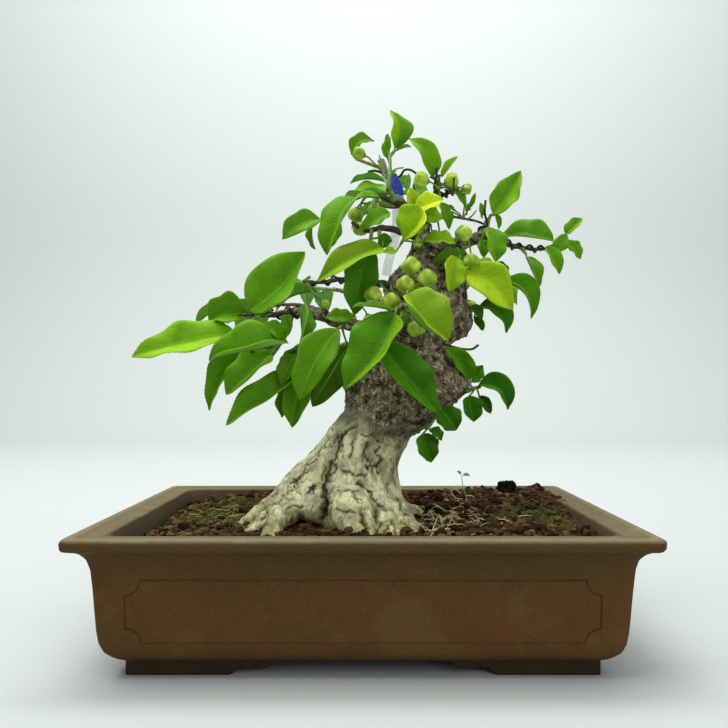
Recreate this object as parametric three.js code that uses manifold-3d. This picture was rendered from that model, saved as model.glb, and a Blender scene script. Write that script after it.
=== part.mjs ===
// Spindle tree bonsai, with its leaves, fruit and training wires, in a rectangular clay pot.
// Millimetres, +Z up. The origin is the middle of the pot's footprint on the ground. The pot's front looks to -Y.

import * as THREE from "three";
import { mergeVertices } from "three/addons/utils/BufferGeometryUtils.js";
import Module from "manifold-3d";

const wasm = await Module();
wasm.setup();

// Driving dimensions of the pot
const RIM_LENGTH = 240;
const RIM_WIDTH = 185;
const RIM_TOP = 60;
const FOOT_HEIGHT = 8;
const FLOOR_TOP = 13;
const RIM_INNER_INSET = 15;
const RIM_CORNER = 3.5;
const CORNER_STEPS = 2;
const FOOT_OUTER_INSET = 23.5;
const FOOT_THICKNESS = 9;
const DRAIN_HOLE_RADIUS = 7;
const DRAIN_HOLE_X = 55;
const DRAIN_MESH_SIDE = 26;
const DRAIN_MESH_THICKNESS = 1;
const DRAIN_MESH_OPENING = 5.2;
const DRAIN_MESH_PITCH = 7.8;
const PANEL_LINE_WIDTH = 1.2;
const PANEL_LINE_DEPTH = 0.8;

// Each level of the pot's wall: height, distance in from the rim's outer edge, corner radius
const POT_LEVELS = [
  [FOOT_HEIGHT, 23, 4],
  [9, 19.5, 5],
  [11.5, 16, 5.5],
  [15.5, 13.6, 5],
  [21, 12.8, 4.5],
  [50, 11, 4.5],
  [52.8, 9.6, 4.5],
  [54.3, 6.5, 4],
  [54.8, 1, 3.5],
  [55.6, 0.2, RIM_CORNER],
  [RIM_TOP - 1.2, 0, RIM_CORNER],
  [RIM_TOP - 0.3, 0.8, RIM_CORNER],
  [RIM_TOP, 2, RIM_CORNER],
  [RIM_TOP, 6.4, 4.5],
  [RIM_TOP - 0.6, 7, 4.5],
  [RIM_TOP - 0.6, RIM_INNER_INSET - 0.8, 7],
  [RIM_TOP - 1.4, RIM_INNER_INSET, 7.5],
  [20, 19.5, 8],
  [14.5, 23, 10],
  [FLOOR_TOP, 29, 12],
];

// The panel line on a wall: half length at the foot of the wall, height of its lower and upper edge, notch radius
const PANEL_HALF_LENGTH = 96.6;
const PANEL_HALF_WIDTH = 69.1;
const PANEL_LOW = 15.6;
const PANEL_HIGH = 43;
const PANEL_NOTCH = 6;

// Soil
const SOIL_EDGE = 53.6;
const SOIL_MOUND = 2.4;
const SOIL_RISE_RIGHT = 3;
const SOIL_RISE_BACK = 2;
const SOIL_RISE_CORNER = 1.2;
const SOIL_COLUMNS = 12;
const SOIL_ROWS = 9;

// A ring of up to this many points is capped from one of them, and a larger one from its middle
const SMALL_CAP = 7;

// Clear space between two pieces that touch on the real object
const GAP = 0.35;

// Leaves, fruit and wires
const BLADE_THICKNESS = 0.7;
const PETIOLE_RADIUS = 0.55;
const LONG_LEAF = 34;
const SMALL_LEAF = 15;
const SHORT_PETIOLE = 4;
const BLADE_NEAR_BASE = 0.6;
const BLADE_NEAR_TIP = 0.8;
const FRUIT_SIDES = 8;
const FRUIT_STACKS = 4;
const FRUIT_FLATNESS = 0.86;
const FRUIT_LOBE_DEPTH = 0.14;
const STALK_RADIUS = 0.5;
const WIRE_RADIUS = 0.6;
const WIRE_SIDES = 4;
const WIRE_STEPS_PER_TURN = 6;

// The tree was measured from one standing point. A place written as [x, z, depth] says where it is seen against
// the upright plane through the middle of the pot, and how far behind that plane it really lies.
const EYE = new THREE.Vector3(1.8, -400.8, 117.5);

function seen([x, z, depth]) {
  const stretch = (depth - EYE.y) / -EYE.y;
  return new THREE.Vector3(EYE.x + (x - EYE.x) * stretch, depth, EYE.z + (z - EYE.z) * stretch);
}

// The trunk from underground to its top. Each level: height, left, right, front and back edge
const TRUNK_SIDES = 24;
const TRUNK_LEVELS = [
  [42, -52, 28, -40, 31],
  [51, -55, 27.5, -41, 32],
  [57, -53.5, 24.5, -38, 30.5],
  [64, -49, 20.4, -34, 28.5],
  [71, -43.5, 18, -30.5, 27],
  [78, -37.5, 17, -27.5, 25],
  [84, -31, 18.2, -26.5, 24.5],
  [90, -24, 20.5, -26, 24],
  [95.5, -20, 24.5, -26.5, 24],
  [100.5, -16.5, 31, -28.5, 25],
  [105.5, -13, 37.5, -30.5, 26.5],
  [111, -9, 43.5, -31.5, 27.5],
  [117, -9.3, 49, -32, 28],
  [123, -10.5, 52.5, -31.5, 28],
  [129, -10.5, 52.8, -30.5, 27],
  [134.5, -8, 49.5, -28, 25],
  [139, -3, 44.5, -24, 22],
  [142.5, 3, 44, -20.5, 19.5],
  [146.5, 8, 51.5, -20, 19],
  [152, 11.5, 54.8, -20.5, 19],
  [158.5, 12, 53.6, -20, 18.5],
  [165, 11, 52, -19, 17.5],
  [171, 10, 52, -17.5, 16.5],
  [177, 14, 50, -15, 14],
  [182.5, 19.5, 45.5, -12, 12],
  [188, 23, 40.5, -9.5, 9.5],
  [194, 24.5, 36.5, -7, 7.5],
  [200, 26.5, 34.5, -4.5, 5],
];

// Furrows between the root masses and folds in the bark: angle, lowest and highest level, depth, half width in
// degrees
const FURROWS = [
  [262, 30, 90, 0.2, 9],
  [238, 30, 64, 0.5, 20],
  [300, 30, 76, 0.14, 11],
  [335, 30, 74, 0.13, 12],
  [35, 30, 84, 0.15, 14],
  [80, 30, 74, 0.16, 13],
  [125, 30, 88, 0.15, 14],
  [180, 30, 70, 0.08, 10],
  [285, 82, 104, 0.06, 12],
  [250, 84, 104, 0.06, 10],
  [278, 128, 150, 0.09, 14],
  [60, 124, 150, 0.1, 16],
  [150, 130, 152, 0.08, 14],
];

// Knobs on the burl and the upper trunk: angle, level, height and radius
const KNOBS = [
  [300, 112, 4, 9],
  [262, 118, 3, 8],
  [330, 122, 3.6, 9],
  [285, 133, 3, 7],
  [240, 128, 3, 8],
  [20, 118, 3, 9],
  [60, 111, 4, 10],
  [100, 124, 4, 10],
  [140, 113, 3.5, 9],
  [250, 156, 3, 8],
  [300, 166, 3, 8],
  [70, 158, 3.5, 9],
  [120, 168, 3, 8],
];

// Surface roots, as true [x, y, z] points from inside the flare to their ends in the soil, and their radii
const ROOTS = [
  { points: [[-38, -6, 64], [-49, -9, 58], [-58, -12, 53], [-66, -15, 46]], radii: [9, 6, 3.6, 2] },
  { points: [[-36, -22, 63], [-40, -33, 58.5], [-42, -42, 53], [-44, -49, 46]], radii: [8, 5.4, 4, 3] },
  { points: [[-40, -18, 60], [-48, -27, 56], [-54, -33, 51.5], [-59, -38, 46]], radii: [6, 4.2, 3, 2] },
  { points: [[-9, -22, 66], [-9, -34, 58.5], [-8, -43, 51.5], [-8, -48, 45]], radii: [11, 8.5, 6, 4] },
  { points: [[4, -18, 65], [8, -31, 58], [12, -41, 52], [15, -47, 45]], radii: [10, 7, 5, 3.4] },
  { points: [[10, -12, 65], [18, -22, 58], [24, -33, 52.5], [29, -41, 45]], radii: [9, 6.4, 4.4, 2.8] },
  { points: [[11, 0, 62], [21, 1, 57], [30, 2, 52], [37, 3, 45]], radii: [8, 5.6, 4, 2.4] },
  { points: [[8, 12, 60], [19, 24, 55], [29, 34, 50], [35, 40, 45]], radii: [9, 6, 4, 2.4] },
  { points: [[-12, 16, 62], [-14, 30, 56], [-17, 42, 51], [-18, 48, 45]], radii: [9, 6.5, 4, 2.6] },
  { points: [[-32, 10, 62], [-44, 20, 56], [-54, 28, 51], [-60, 33, 45]], radii: [9, 6, 4, 2.4] },
];
const ROOT_SIDES = 5;
const ROOT_STEPS = 3;

// Limbs and twigs, as seen [x, z, depth] places
const LIMBS = {
  left: {
    points: [[18, 150, -6], [0, 151, -8], [-12, 153, -10], [-22, 157, -12], [-33, 158.5, -13], [-50, 156.5, -14]],
    radii: [3.8, 3.2, 3, 2.8, 2.3, 1.1], sides: 6, steps: 6,
  },
  leftMiddle: {
    points: [[18, 171, -6], [8, 173, -10], [-2, 174, -12], [-12, 175, -13], [-22, 173.5, -14], [-31, 174, -15]],
    radii: [2.4, 1.8, 1.4, 1.2, 1, 0.8], sides: 4, steps: 5,
  },
  upperLeft: {
    points: [[30, 195, 0], [20, 199, -4], [10, 201, -7], [0, 200, -9], [-6, 204, -11]],
    radii: [2.8, 2, 1.6, 1.2, 0.9], sides: 4, steps: 5,
  },
  topLeft: {
    points: [[30, 197, 0], [25, 206, -1], [18, 213, -2], [8, 217, -4], [-2, 217, -6], [-10, 213, -8]],
    radii: [3, 2.3, 1.9, 1.4, 1.1, 0.8], sides: 4, steps: 5,
  },
  leader: {
    points: [[23, 208, -1], [18, 216, -1], [13, 223, -2], [10.3, 230, -2], [8.5, 236, -2]],
    radii: [2.2, 2.1, 2, 2, 2], sides: 5, steps: 4,
  },
  upperMiddle: {
    points: [[31, 196, 0], [32, 205, -2], [34, 213, -4], [36.5, 220, -5], [37.5, 225, -6]],
    radii: [2.6, 1.9, 1.5, 1.2, 1], sides: 4, steps: 4,
  },
  upperRight: {
    points: [[34, 212, -4], [39, 217, -5], [45, 219.5, -6], [50, 219.5, -6]],
    radii: [1.3, 1.1, 1, 0.8], sides: 4, steps: 3,
  },
  right: {
    points: [[33, 182, 0], [40, 189.5, -1], [48, 192.5, -2], [56, 195.5, -2], [61, 200, -2], [62.5, 205, -2]],
    radii: [6.5, 5.2, 4.4, 3.2, 2.2, 1.4], sides: 7, steps: 6,
  },
  rightBranch: {
    points: [[55, 196, -2], [64, 196, -1], [71, 193.5, 0], [80, 191, 1], [92, 190.5, 2], [97, 192, 2]],
    radii: [2.2, 1.6, 1.3, 1.1, 0.9, 0.7], sides: 4, steps: 5,
  },
  rightSide: {
    points: [[46, 173, -2], [54, 176, -3], [61, 178.5, -4], [67, 178, -5]],
    radii: [2.4, 1.5, 1.1, 0.8], sides: 4, steps: 3,
  },
  front: {
    points: [[30, 162, -8], [26, 163, -20], [21, 163, -28], [18, 160, -32]],
    radii: [4, 2.8, 2, 1.3], sides: 5, steps: 3,
  },
  burlTwig: {
    points: [[40, 113, -8], [49, 117, -12], [54, 119, -14]],
    radii: [2.2, 1.4, 0.9], sides: 4, steps: 2,
  },
  burlLow: {
    points: [[28, 106, -14], [30, 102, -24], [31, 100, -30]],
    radii: [2.2, 1.4, 0.9], sides: 4, steps: 2,
  },
  leftBack: {
    points: [[-12, 153, -9], [-22, 159, 6], [-34, 162, 20], [-46, 162, 30]],
    radii: [2, 1.5, 1.1, 0.8], sides: 4, steps: 4,
  },
  backLeft: {
    points: [[20, 160, 6], [10, 164, 24], [-4, 168, 38], [-16, 170, 48]],
    radii: [4, 2.6, 1.8, 1], sides: 5, steps: 4,
  },
  backRight: {
    points: [[44, 165, 6], [50, 170, 22], [54, 174, 36], [57, 176, 46]],
    radii: [4, 2.4, 1.7, 1], sides: 5, steps: 4,
  },
  backUp: {
    points: [[31, 188, 2], [29, 198, 14], [25, 206, 26], [20, 211, 36]],
    radii: [3.4, 2.3, 1.6, 0.9], sides: 5, steps: 4,
  },
  backLow: {
    points: [[10, 138, 14], [0, 142, 28], [-12, 142, 40]],
    radii: [3, 1.9, 1], sides: 4, steps: 3,
  },
};

// Leafy shoots. The stem is a list of seen places. Each leaf: share of the stem where it grows, blade base and blade
// tip as seen [x, z, depth], width, where its upper face looks (degrees round from the front, degrees up), arch as a
// share of its length, and fold of each half in degrees.
const SHOOTS = [
  {
    name: "shoot_left_end", finish: "leaf_mid", stem: [[-47, 157.5, -13], [-55, 157.5, -14], [-62, 153, -15]],
    leaves: [
      [1, -65, 148, -15, -118, 136.3, -18, 19, -5, 40, 0.045, 26],
      [0.6, -59, 155.5, -12, -79.5, 154.5, -8, 20, 0, 42, 0.04, 40],
      [0.5, -58, 159, -18, -30, 189, -25, 23, -8, 12, -0.05, 14],
    ],
  },
  {
    name: "shoot_left_low", finish: "leaf_mid",
    stem: [[-36, 158, -13], [-38, 150, -17], [-41, 144, -20], [-45, 139, -21]],
    leaves: [
      [0.6, -39, 143.5, -24, -79, 135.5, -30, 18, -5, 52, 0.16, 22],
      [0.7, -42, 143, -14, -54, 132, -12, 12, -20, 30, 0.05, 15],
      [0.35, -40, 146, -24, -50, 153, -28, 9, 0, 30, 0.05, 15],
      [0.15, -40, 157, -20, -38, 147, -25, 6, 10, 10, 0.05, 20],
      [1, -47, 137.5, -21, -70.5, 117.5, -25, 18, -15, 28, 0.08, 18],
      [0.95, -53, 139, -15, -79.5, 109.5, -16, 12, -45, 15, 0.1, 28],
    ],
  },
  {
    name: "shoot_left_hanging", finish: "leaf_mid",
    stem: [[-30.6, 157.2, -12.4], [-30.2, 150, -18], [-32, 142, -22], [-34, 135, -22]],
    leaves: [
      [0.1, -31.5, 161, -18, -31, 143, -26, 10, 40, 5, 0.08, 32],
      [1, -34, 127, -21, -70.5, 102, -25, 17, -15, 35, 0.06, 20],
      [0.8, -29, 131, -18, -36.6, 100, -19, 13, -10, 5, 0.03, 18],
      [0.95, -36, 124, -15, -41.8, 105, -14, 8, -20, 5, 0.03, 18],
      [0.9, -35, 137, -26, -42, 122, -29, 10, -10, 15, 0.06, 18],
    ],
  },
  {
    name: "shoot_left_inner", finish: "leaf_mid", stem: [[-10, 151, -10], [-11, 151, -20], [-12, 151, -26]],
    leaves: [
      [1, -13, 150, -28, -33, 114, -33, 17, -20, 15, 0.04, 15],
      [0.6, -8, 141, -16, -26.3, 110.5, -18, 18, -10, 0, 0.03, 12],
      [0.5, -6, 156, -22, -19.5, 156, -24, 8, -10, 20, 0.04, 15],
    ],
  },
  {
    name: "shoot_front", finish: "leaf_dark", stem: [[19, 161, -30], [16.5, 160, -35], [16, 158, -37]],
    leaves: [
      [1, 15.8, 157.5, -38, -9.6, 120, -45, 22, -12, 5, 0.04, 14],
      [0.8, 14, 160, -38, -6, 161.5, -41, 8, 0, 82, 0.05, 20],
      [0.6, 9, 142, -35, 38, 107.5, -38, 19, 8, 12, 0.05, 14],
    ],
  },
  {
    name: "shoot_front_bright", finish: "leaf_young", stem: [[27, 168, -14], [24, 169, -26], [22, 169, -36]],
    leaves: [
      [1, 22, 167.5, -38, 43, 144.5, -41, 22, 12, 10, 0.05, 16],
    ],
  },
  {
    name: "shoot_right_young", finish: "leaf_young", stem: [[47, 191, -4], [48.5, 187, -13], [50, 182, -15]],
    leaves: [
      [0.6, 47.5, 186, -18, 43.5, 169, -21, 12, 5, 0, 0.05, 10],
      [1, 52, 180.5, -17, 75.5, 159.5, -21, 17, 10, 22, 0.06, 10],
      [0.9, 58, 184.5, -12, 66, 180, -13, 7, 10, 40, 0.05, 20],
    ],
  },
  {
    name: "shoot_right_side", finish: "leaf_dark", stem: [[64, 178.5, -5], [68, 177.5, -6], [71, 176, -7]],
    leaves: [
      [1, 71, 174.5, -7, 85, 156, -11, 11, 45, 25, 0.14, 22],
      [0.5, 68, 174, -2, 71.6, 157, -1, 7, 20, 5, 0.05, 22],
    ],
  },
  {
    name: "shoot_right_low", finish: "leaf_dark", stem: [[50, 162, -3], [54, 161, -5], [57, 160, -6]],
    leaves: [
      [0.8, 58, 161, -6, 72, 149, -8, 9, 20, 50, 0.22, 20],
      [0.6, 55, 162, -9, 60, 155, -11, 6, 10, 20, 0.05, 20],
    ],
  },
  {
    name: "shoot_burl_right", finish: "leaf_dark", stem: [[52, 118.5, -14], [56, 120, -15], [59, 120.5, -16]],
    leaves: [
      [1, 58, 121.5, -17, 73.5, 110, -20, 9, 10, 50, 0.24, 22],
      [0.55, 53.5, 116, -17, 56, 103, -18, 11, 5, 5, 0.05, 14],
      [0.7, 58.5, 116, -13, 64.5, 107, -12, 6, 20, 5, 0.05, 20],
      [0.4, 53.5, 125, -14, 59, 136, -15, 8, 15, 10, -0.08, 25],
    ],
  },
  {
    name: "shoot_burl_low", finish: "leaf_dark", stem: [[31, 100.5, -28.5], [32, 99.7, -33], [33, 100, -35.4]],
    leaves: [
      [0.6, 30, 97, -34, 34.5, 82.5, -35, 11, 5, 5, 0.05, 12],
      [1, 39, 109.5, -34, 47, 98.6, -33, 13, 10, 10, 0.05, 16],
    ],
  },
  {
    name: "shoot_leader", finish: "leaf_mid", stem: [[12.6, 222.5, -5], [13.2, 230, -6], [13.2, 238, -6]],
    leaves: [
      [1, 16, 241.5, -6, 13, 260.6, -8, 14, 50, 8, 0.22, 14],
      [0.95, 16.5, 241, -8, 24, 242.5, -10, 4, 10, 50, 0.05, 20],
      [0.9, 12.6, 240, -4, 12, 249, -3, 4, -20, 5, 0.05, 20],
    ],
  },
  {
    name: "shoot_leader_left", finish: "leaf_mid", stem: [[10.2, 231, -1.5], [3, 233.5, 0], [-4, 236, 0]],
    leaves: [
      [1, -6.5, 239, -1, 4.5, 246.5, -2, 7, -30, 30, 0.24, 20],
    ],
  },
  {
    name: "shoot_top_middle", finish: "leaf_mid", stem: [[37, 222.5, -6], [38, 226, -9], [38, 228, -10]],
    leaves: [
      [0.6, 35, 227, -9, 23.2, 246.9, -10, 10, 18, 32, 0.19, 20],
      [1, 39.5, 227.5, -10, 47.4, 237.5, -11, 5, -10, 20, 0.06, 22],
      [0.3, 43.5, 221.5, -10, 52, 211.5, -11, 5, 15, 30, 0.1, 22],
      [0.3, 39, 214, -12, 43.5, 200.5, -13, 7, 25, 10, 0.05, 18],
    ],
  },
  {
    name: "shoot_top_left", finish: "leaf_mid", stem: [[-8, 214, -8], [-12, 213, -11], [-17, 209, -12]],
    leaves: [
      [0.15, -4, 216.5, -14, -19.5, 188, -18, 19, -25, 25, 0.14, 20],
      [1, -22, 205.5, -12, -41.5, 196, -14, 12, -15, 30, 0.1, 20],
      [0.8, -12, 203, -8, -18, 190.5, -8, 9, -20, 5, 0.05, 20],
      [0.9, -27, 203, -9, -25, 190, -7, 6, -60, 5, 0.05, 20],
    ],
  },
  {
    name: "shoot_upper_left", finish: "leaf_mid", stem: [[6, 217, -5], [5, 214, -10], [6, 211, -14]],
    leaves: [
      [0.6, 8, 216.5, -13, -5, 216, -18, 7, 0, 55, 0.06, 20],
      [1, 13, 209, -16, -1, 200.5, -18, 10, -10, 25, 0.06, 18],
    ],
  },
  {
    name: "shoot_middle_young", finish: "leaf_young", stem: [[24, 197, -7], [20, 195, -11], [18.7, 193, -13]],
    leaves: [
      [0.95, 19, 194.5, -17, 24, 212.5, -26, 14, -5, 0, 0.05, 12],
      [0.55, 31, 194.5, -13, 46.5, 194, -16, 10, 5, 25, 0.1, 12],
    ],
  },
  {
    name: "shoot_middle_right", finish: "leaf_young", stem: [[33, 209, -3], [30.5, 209, -10], [28, 209.5, -15]],
    leaves: [
      [1, 26, 210.5, -17, 40, 216, -20, 11, 5, 20, 0.06, 12],
      [0.8, 30.5, 207, -15, 40, 206, -17, 9, 5, 15, 0.05, 14],
    ],
  },
  {
    name: "shoot_left_middle", finish: "leaf_young", stem: [[8, 200.5, -7], [8, 196, -13], [9.5, 193, -17]],
    leaves: [
      [1, 9.5, 191, -19, -23.5, 174.5, -28, 17, -10, 40, 0.14, 14],
    ],
  },
  {
    name: "shoot_left_dark", finish: "leaf_dark", stem: [[4, 200, -9], [3.5, 196, -12], [3, 193, -13]],
    leaves: [
      [1, 2.5, 190.5, -14, -5, 157, -17, 17, -8, 4, 0.03, 12],
      [0.55, 12.5, 197.5, -15, 7.5, 190.5, -16, 7, 10, 10, 0.05, 20],
    ],
  },
  {
    name: "shoot_right_top", finish: "leaf_mid", stem: [[62.3, 202, -2], [63.5, 206, -4], [64.5, 208, -5]],
    leaves: [
      [1, 65.5, 208, -6, 79.5, 230.5, -8, 14, -5, 12, -0.1, 16],
      [0.85, 67, 208, -3, 68.5, 200.5, -1, 4, 30, 5, 0.05, 20],
    ],
  },
  {
    name: "shoot_limb_under", finish: "leaf_mid", stem: [[58.5, 197.5, -3], [60.5, 198.5, -8], [64, 201, -9]],
    leaves: [
      [1, 66, 200.5, -9, 67, 184, -11, 12, 5, 5, 0.05, 12],
      [0.6, 59.5, 195, -9, 61, 186, -10, 6, 5, 5, 0.05, 20],
    ],
  },
  {
    name: "shoot_right_end", finish: "leaf_mid", stem: [[95.5, 191.5, 2], [98, 194, 1], [100, 196, 0]],
    leaves: [
      [0.5, 96, 197.5, 4, 68.5, 199, 9, 13, 5, 55, 0.12, 18],
      [0.6, 97, 189.5, -4, 103, 198, -5, 8, 5, 5, 0.03, 12],
      [0.5, 92.5, 191.5, -5, 99.5, 178, -6, 9, 10, 10, 0.06, 18],
      [1, 102, 198, 0, 110.5, 206, 0, 7, -5, 25, 0.08, 18],
      [1, 102.5, 194.5, 1, 110, 185.5, 1, 8, 25, 10, 0.06, 18],
    ],
  },
  {
    name: "shoot_right_under", finish: "leaf_mid", stem: [[79.5, 191, 1], [81, 189.5, -4], [82, 188, -5]],
    leaves: [
      [1, 82.5, 186.5, -6, 88.5, 170.5, -8, 8, 15, 15, 0.14, 20],
    ],
  },
];

// Shoots on the side away from the eye grow by one rule: opposite pairs of leaves along a stem that goes on from the
// end of a limb. Each: limb, growing direction, stem length, pairs, length of its largest leaf, seed.
const RULED_SHOOTS = [
  {
    name: "shoot_back_left", finish: "leaf_mid", limb: "backLeft", heading: [-0.7, 0.6, 0.15],
    reach: 28, pairs: 3, leaf: 32, seed: 11,
  },
  {
    name: "shoot_back_right", finish: "leaf_dark", limb: "backRight", heading: [0.15, 0.9, 0.15],
    reach: 24, pairs: 3, leaf: 31, seed: 23,
  },
  {
    name: "shoot_back_up", finish: "leaf_mid", limb: "backUp", heading: [-0.2, 0.7, 0.6],
    reach: 28, pairs: 3, leaf: 33, seed: 37,
  },
  {
    name: "shoot_back_low", finish: "leaf_dark", limb: "backLow", heading: [-0.6, 0.7, -0.1],
    reach: 22, pairs: 3, leaf: 30, seed: 41,
  },
  {
    name: "shoot_left_back", finish: "leaf_dark", limb: "leftBack", heading: [-0.8, 0.5, -0.1],
    reach: 26, pairs: 3, leaf: 34, seed: 53,
  },
];

// Fruit bunches: where the common stalk leaves the twig, where it forks, then each fruit's middle and diameter
const BUNCHES = [
  {
    name: "fruit_centre", root: [26, 188, -8], fork: [26.5, 185, -18],
    fruits: [[23.8, 181.8, -25, 9.7], [32.2, 176, -25, 10], [20.8, 172.6, -29, 9]],
  },
  {
    name: "fruit_front", root: [21, 163, -27], fork: [23, 156.5, -30],
    fruits: [[26.5, 150.5, -32, 9], [18, 151.5, -29, 6]],
  },
  {
    name: "fruit_left", root: [8, 173, -10], fork: [9.5, 171.5, -18],
    fruits: [[4.6, 167.2, -24, 9], [14, 163.8, -25, 9.5]],
  },
  {
    name: "fruit_limb", root: [53, 194.3, -4], fork: [53.2, 192.6, -12.5],
    fruits: [[50.4, 198.4, -16, 9], [54.5, 184.5, -20, 8]],
  },
  {
    name: "fruit_upper", root: [32.5, 203, -2], fork: [31, 199.5, -8],
    fruits: [[27, 202, -13, 8.5], [27.5, 193.3, -10, 5.5]],
  },
  {
    name: "fruit_top", root: [37, 221, -5], fork: [38, 221, -12],
    fruits: [[28.8, 225.4, -13, 9], [44.7, 225.2, -15, 8], [52.4, 220.8, -13, 5.5]],
  },
  { name: "fruit_tip", root: [10.5, 229, -2], fork: [6, 233, -6], fruits: [[-2.7, 238.9, -8, 7.5]] },
  { name: "fruit_upper_left", root: [1, 217, -5], fork: [-1.5, 213.5, -4], fruits: [[-4.2, 207.6, -3, 8.5]] },
  {
    name: "fruit_left_branch", root: [-29, 174, -14.5], fork: [-26, 168, -17],
    fruits: [[-19.5, 162.5, -17, 5]],
  },
  {
    name: "fruit_back", root: [52, 172, 29], fork: [50, 167, 33],
    fruits: [[54, 161, 33, 8.5], [45, 160, 38, 8.5]],
  },
  {
    name: "fruit_back_left", root: [2, 166, 32], fork: [-1, 161, 36],
    fruits: [[3, 154, 36, 8.5], [-7, 155, 42, 8]],
  },
];

// Wires wound on limbs: from and to as shares of the limb, turns, angle of the first turn, then any free end
const WIRES = [
  { name: "wire_left", limb: "left", from: 0.55, to: 0.93, turns: 3, start: 90, end: [] },
  { name: "wire_left_middle", limb: "leftMiddle", from: 0.5, to: 0.92, turns: 3, start: 60, end: [] },
  {
    name: "wire_leader", limb: "leader", from: 0.4, to: 0.62, turns: 1.5, start: 0,
    end: [[18.5, 227.5, -4], [20.5, 230.3, -6], [23.5, 230.5, -7], [26.6, 228.6, -8]],
  },
  {
    name: "wire_upper_middle", limb: "upperMiddle", from: 0.45, to: 0.86, turns: 2, start: 300,
    end: [[36.6, 227, -9], [37.3, 231, -8]],
  },
  {
    name: "wire_upper_right", limb: "upperRight", from: 0.42, to: 0.8, turns: 2, start: 270,
    end: [[45.5, 223, -9.5], [45.5, 226.5, -9]],
  },
  {
    name: "wire_limb_end", limb: "right", from: 0.5, to: 0.92, turns: 1.5, start: 180,
    end: [[61.2, 209, -6], [61.6, 215, -5]],
  },
  { name: "wire_right", limb: "rightBranch", from: 0.4, to: 0.86, turns: 3.5, start: 120, end: [] },
  {
    name: "wire_burl", limb: null,
    end: [[40, 142.6, -23], [44, 141.2, -20], [50, 139.8, -15], [55, 139.8, -12], [58, 141.8, -11]],
  },
];

// Finishes: colour, roughness
const FINISHES = {
  clay: [0x6b5236, 0.8],
  soil: [0x3a2a1e, 1],
  bark: [0x8a8672, 0.9],
  leaf_dark: [0x2f6a12, 0.5],
  leaf_mid: [0x4d8f1c, 0.5],
  leaf_young: [0x8fbf1f, 0.5],
  fruit: [0x9bb84a, 0.5],
  wire: [0x15130f, 0.4],
  label: [0xdfe6e6, 0.3],
  seedling: [0x5c8a2e, 0.6],
  drain_mesh: [0x202020, 0.6],
};

// A closed solid from rings of points with flat or pointed ends. The rings run anticlockwise as seen from the end of
// the solid, and a ring may have fewer points than its neighbour. The walls named in `mirrored` are split along the
// other diagonal.
function loft(rings, mirrored = []) {
  const sides = Math.max(...rings.map((ring) => ring.length));
  const points = rings.flat();
  const faces = [];
  const keep = (a, b, c) => {
    if (a !== b && b !== c && a !== c) faces.push(a, b, c);
  };
  let start = 0;
  for (let level = 0; level + 1 < rings.length; level++) {
    const [here, above] = [rings[level].length, rings[level + 1].length];
    const at = (side, count) => Math.floor(((side % sides) * count) / sides);
    for (let side = 0; side < sides; side++) {
      const a = start + at(side, here);
      const b = start + at(side + 1, here);
      const c = start + here + at(side, above);
      const d = start + here + at(side + 1, above);
      if (mirrored.includes(side)) {
        keep(a, b, c);
        keep(b, d, c);
      } else {
        keep(a, b, d);
        keep(a, d, c);
      }
    }
    start += here;
  }
  const cap = (ring, first, turned) => {
    if (ring.length === 1) return;
    const small = ring.length <= SMALL_CAP;
    const centre = () => ring.reduce((sum, p) => sum.add(p), new THREE.Vector3()).divideScalar(ring.length);
    const hub = small ? first : points.push(centre()) - 1;
    for (let side = 0; side < ring.length; side++) {
      const a = first + side;
      const b = first + ((side + 1) % ring.length);
      if (a !== hub && b !== hub) faces.push(...(turned ? [hub, b, a] : [hub, a, b]));
    }
  };
  cap(rings[0], 0, true);
  cap(rings[rings.length - 1], start, false);
  const geometry = new THREE.BufferGeometry().setFromPoints(points);
  geometry.setIndex(faces);
  return geometry;
}

// A geometry as a solid that can be joined and cut, with its faces pointing out
function solid(geometry) {
  const bare = geometry.clone();
  bare.deleteAttribute("normal");
  bare.deleteAttribute("uv");
  const merged = mergeVertices(bare, 1e-4);
  const vertProperties = new Float32Array(merged.attributes.position.array);
  const triVerts = new Uint32Array(merged.index.array);
  const made = new wasm.Manifold(new wasm.Mesh({ numProp: 3, vertProperties, triVerts }));
  if (made.volume() > 0) return made;
  return new wasm.Manifold(new wasm.Mesh({ numProp: 3, vertProperties, triVerts: triVerts.reverse() }));
}

function joined(solids) {
  return solids.reduce((sum, next) => sum.add(next));
}

function geometryOf(made) {
  const { vertProperties, triVerts } = made.getMesh();
  const geometry = new THREE.BufferGeometry();
  geometry.setAttribute("position", new THREE.BufferAttribute(vertProperties, 3));
  geometry.setIndex(new THREE.BufferAttribute(triVerts, 1));
  geometry.computeVertexNormals();
  return geometry;
}

const degrees = (angle) => THREE.MathUtils.degToRad(angle);
const point = ([x, y, z]) => new THREE.Vector3(x, y, z);

// A round stem through the points, its radius changing evenly from one point's value to the next
function stem(points, radii, sides, steps, grow = 0) {
  const curve = new THREE.CatmullRomCurve3(points);
  const frames = curve.computeFrenetFrames(steps);
  const rings = [];
  for (let step = 0; step <= steps; step++) {
    const share = step / steps;
    const place = curve.getPointAt(share);
    if (step === 0) place.addScaledVector(frames.tangents[0], -grow);
    if (step === steps) place.addScaledVector(frames.tangents[steps], grow);
    const along = share * (radii.length - 1);
    const before = Math.min(Math.floor(along), radii.length - 2);
    const radius = THREE.MathUtils.lerp(radii[before], radii[before + 1], along - before) + grow;
    const ring = [];
    for (let side = 0; side < sides; side++) {
      const angle = (2 * Math.PI * side) / sides;
      ring.push(
        place
          .clone()
          .addScaledVector(frames.normals[step], radius * Math.cos(angle))
          .addScaledVector(frames.binormals[step], radius * Math.sin(angle)),
      );
    }
    rings.push(ring);
  }
  return solid(loft(rings));
}

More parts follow.
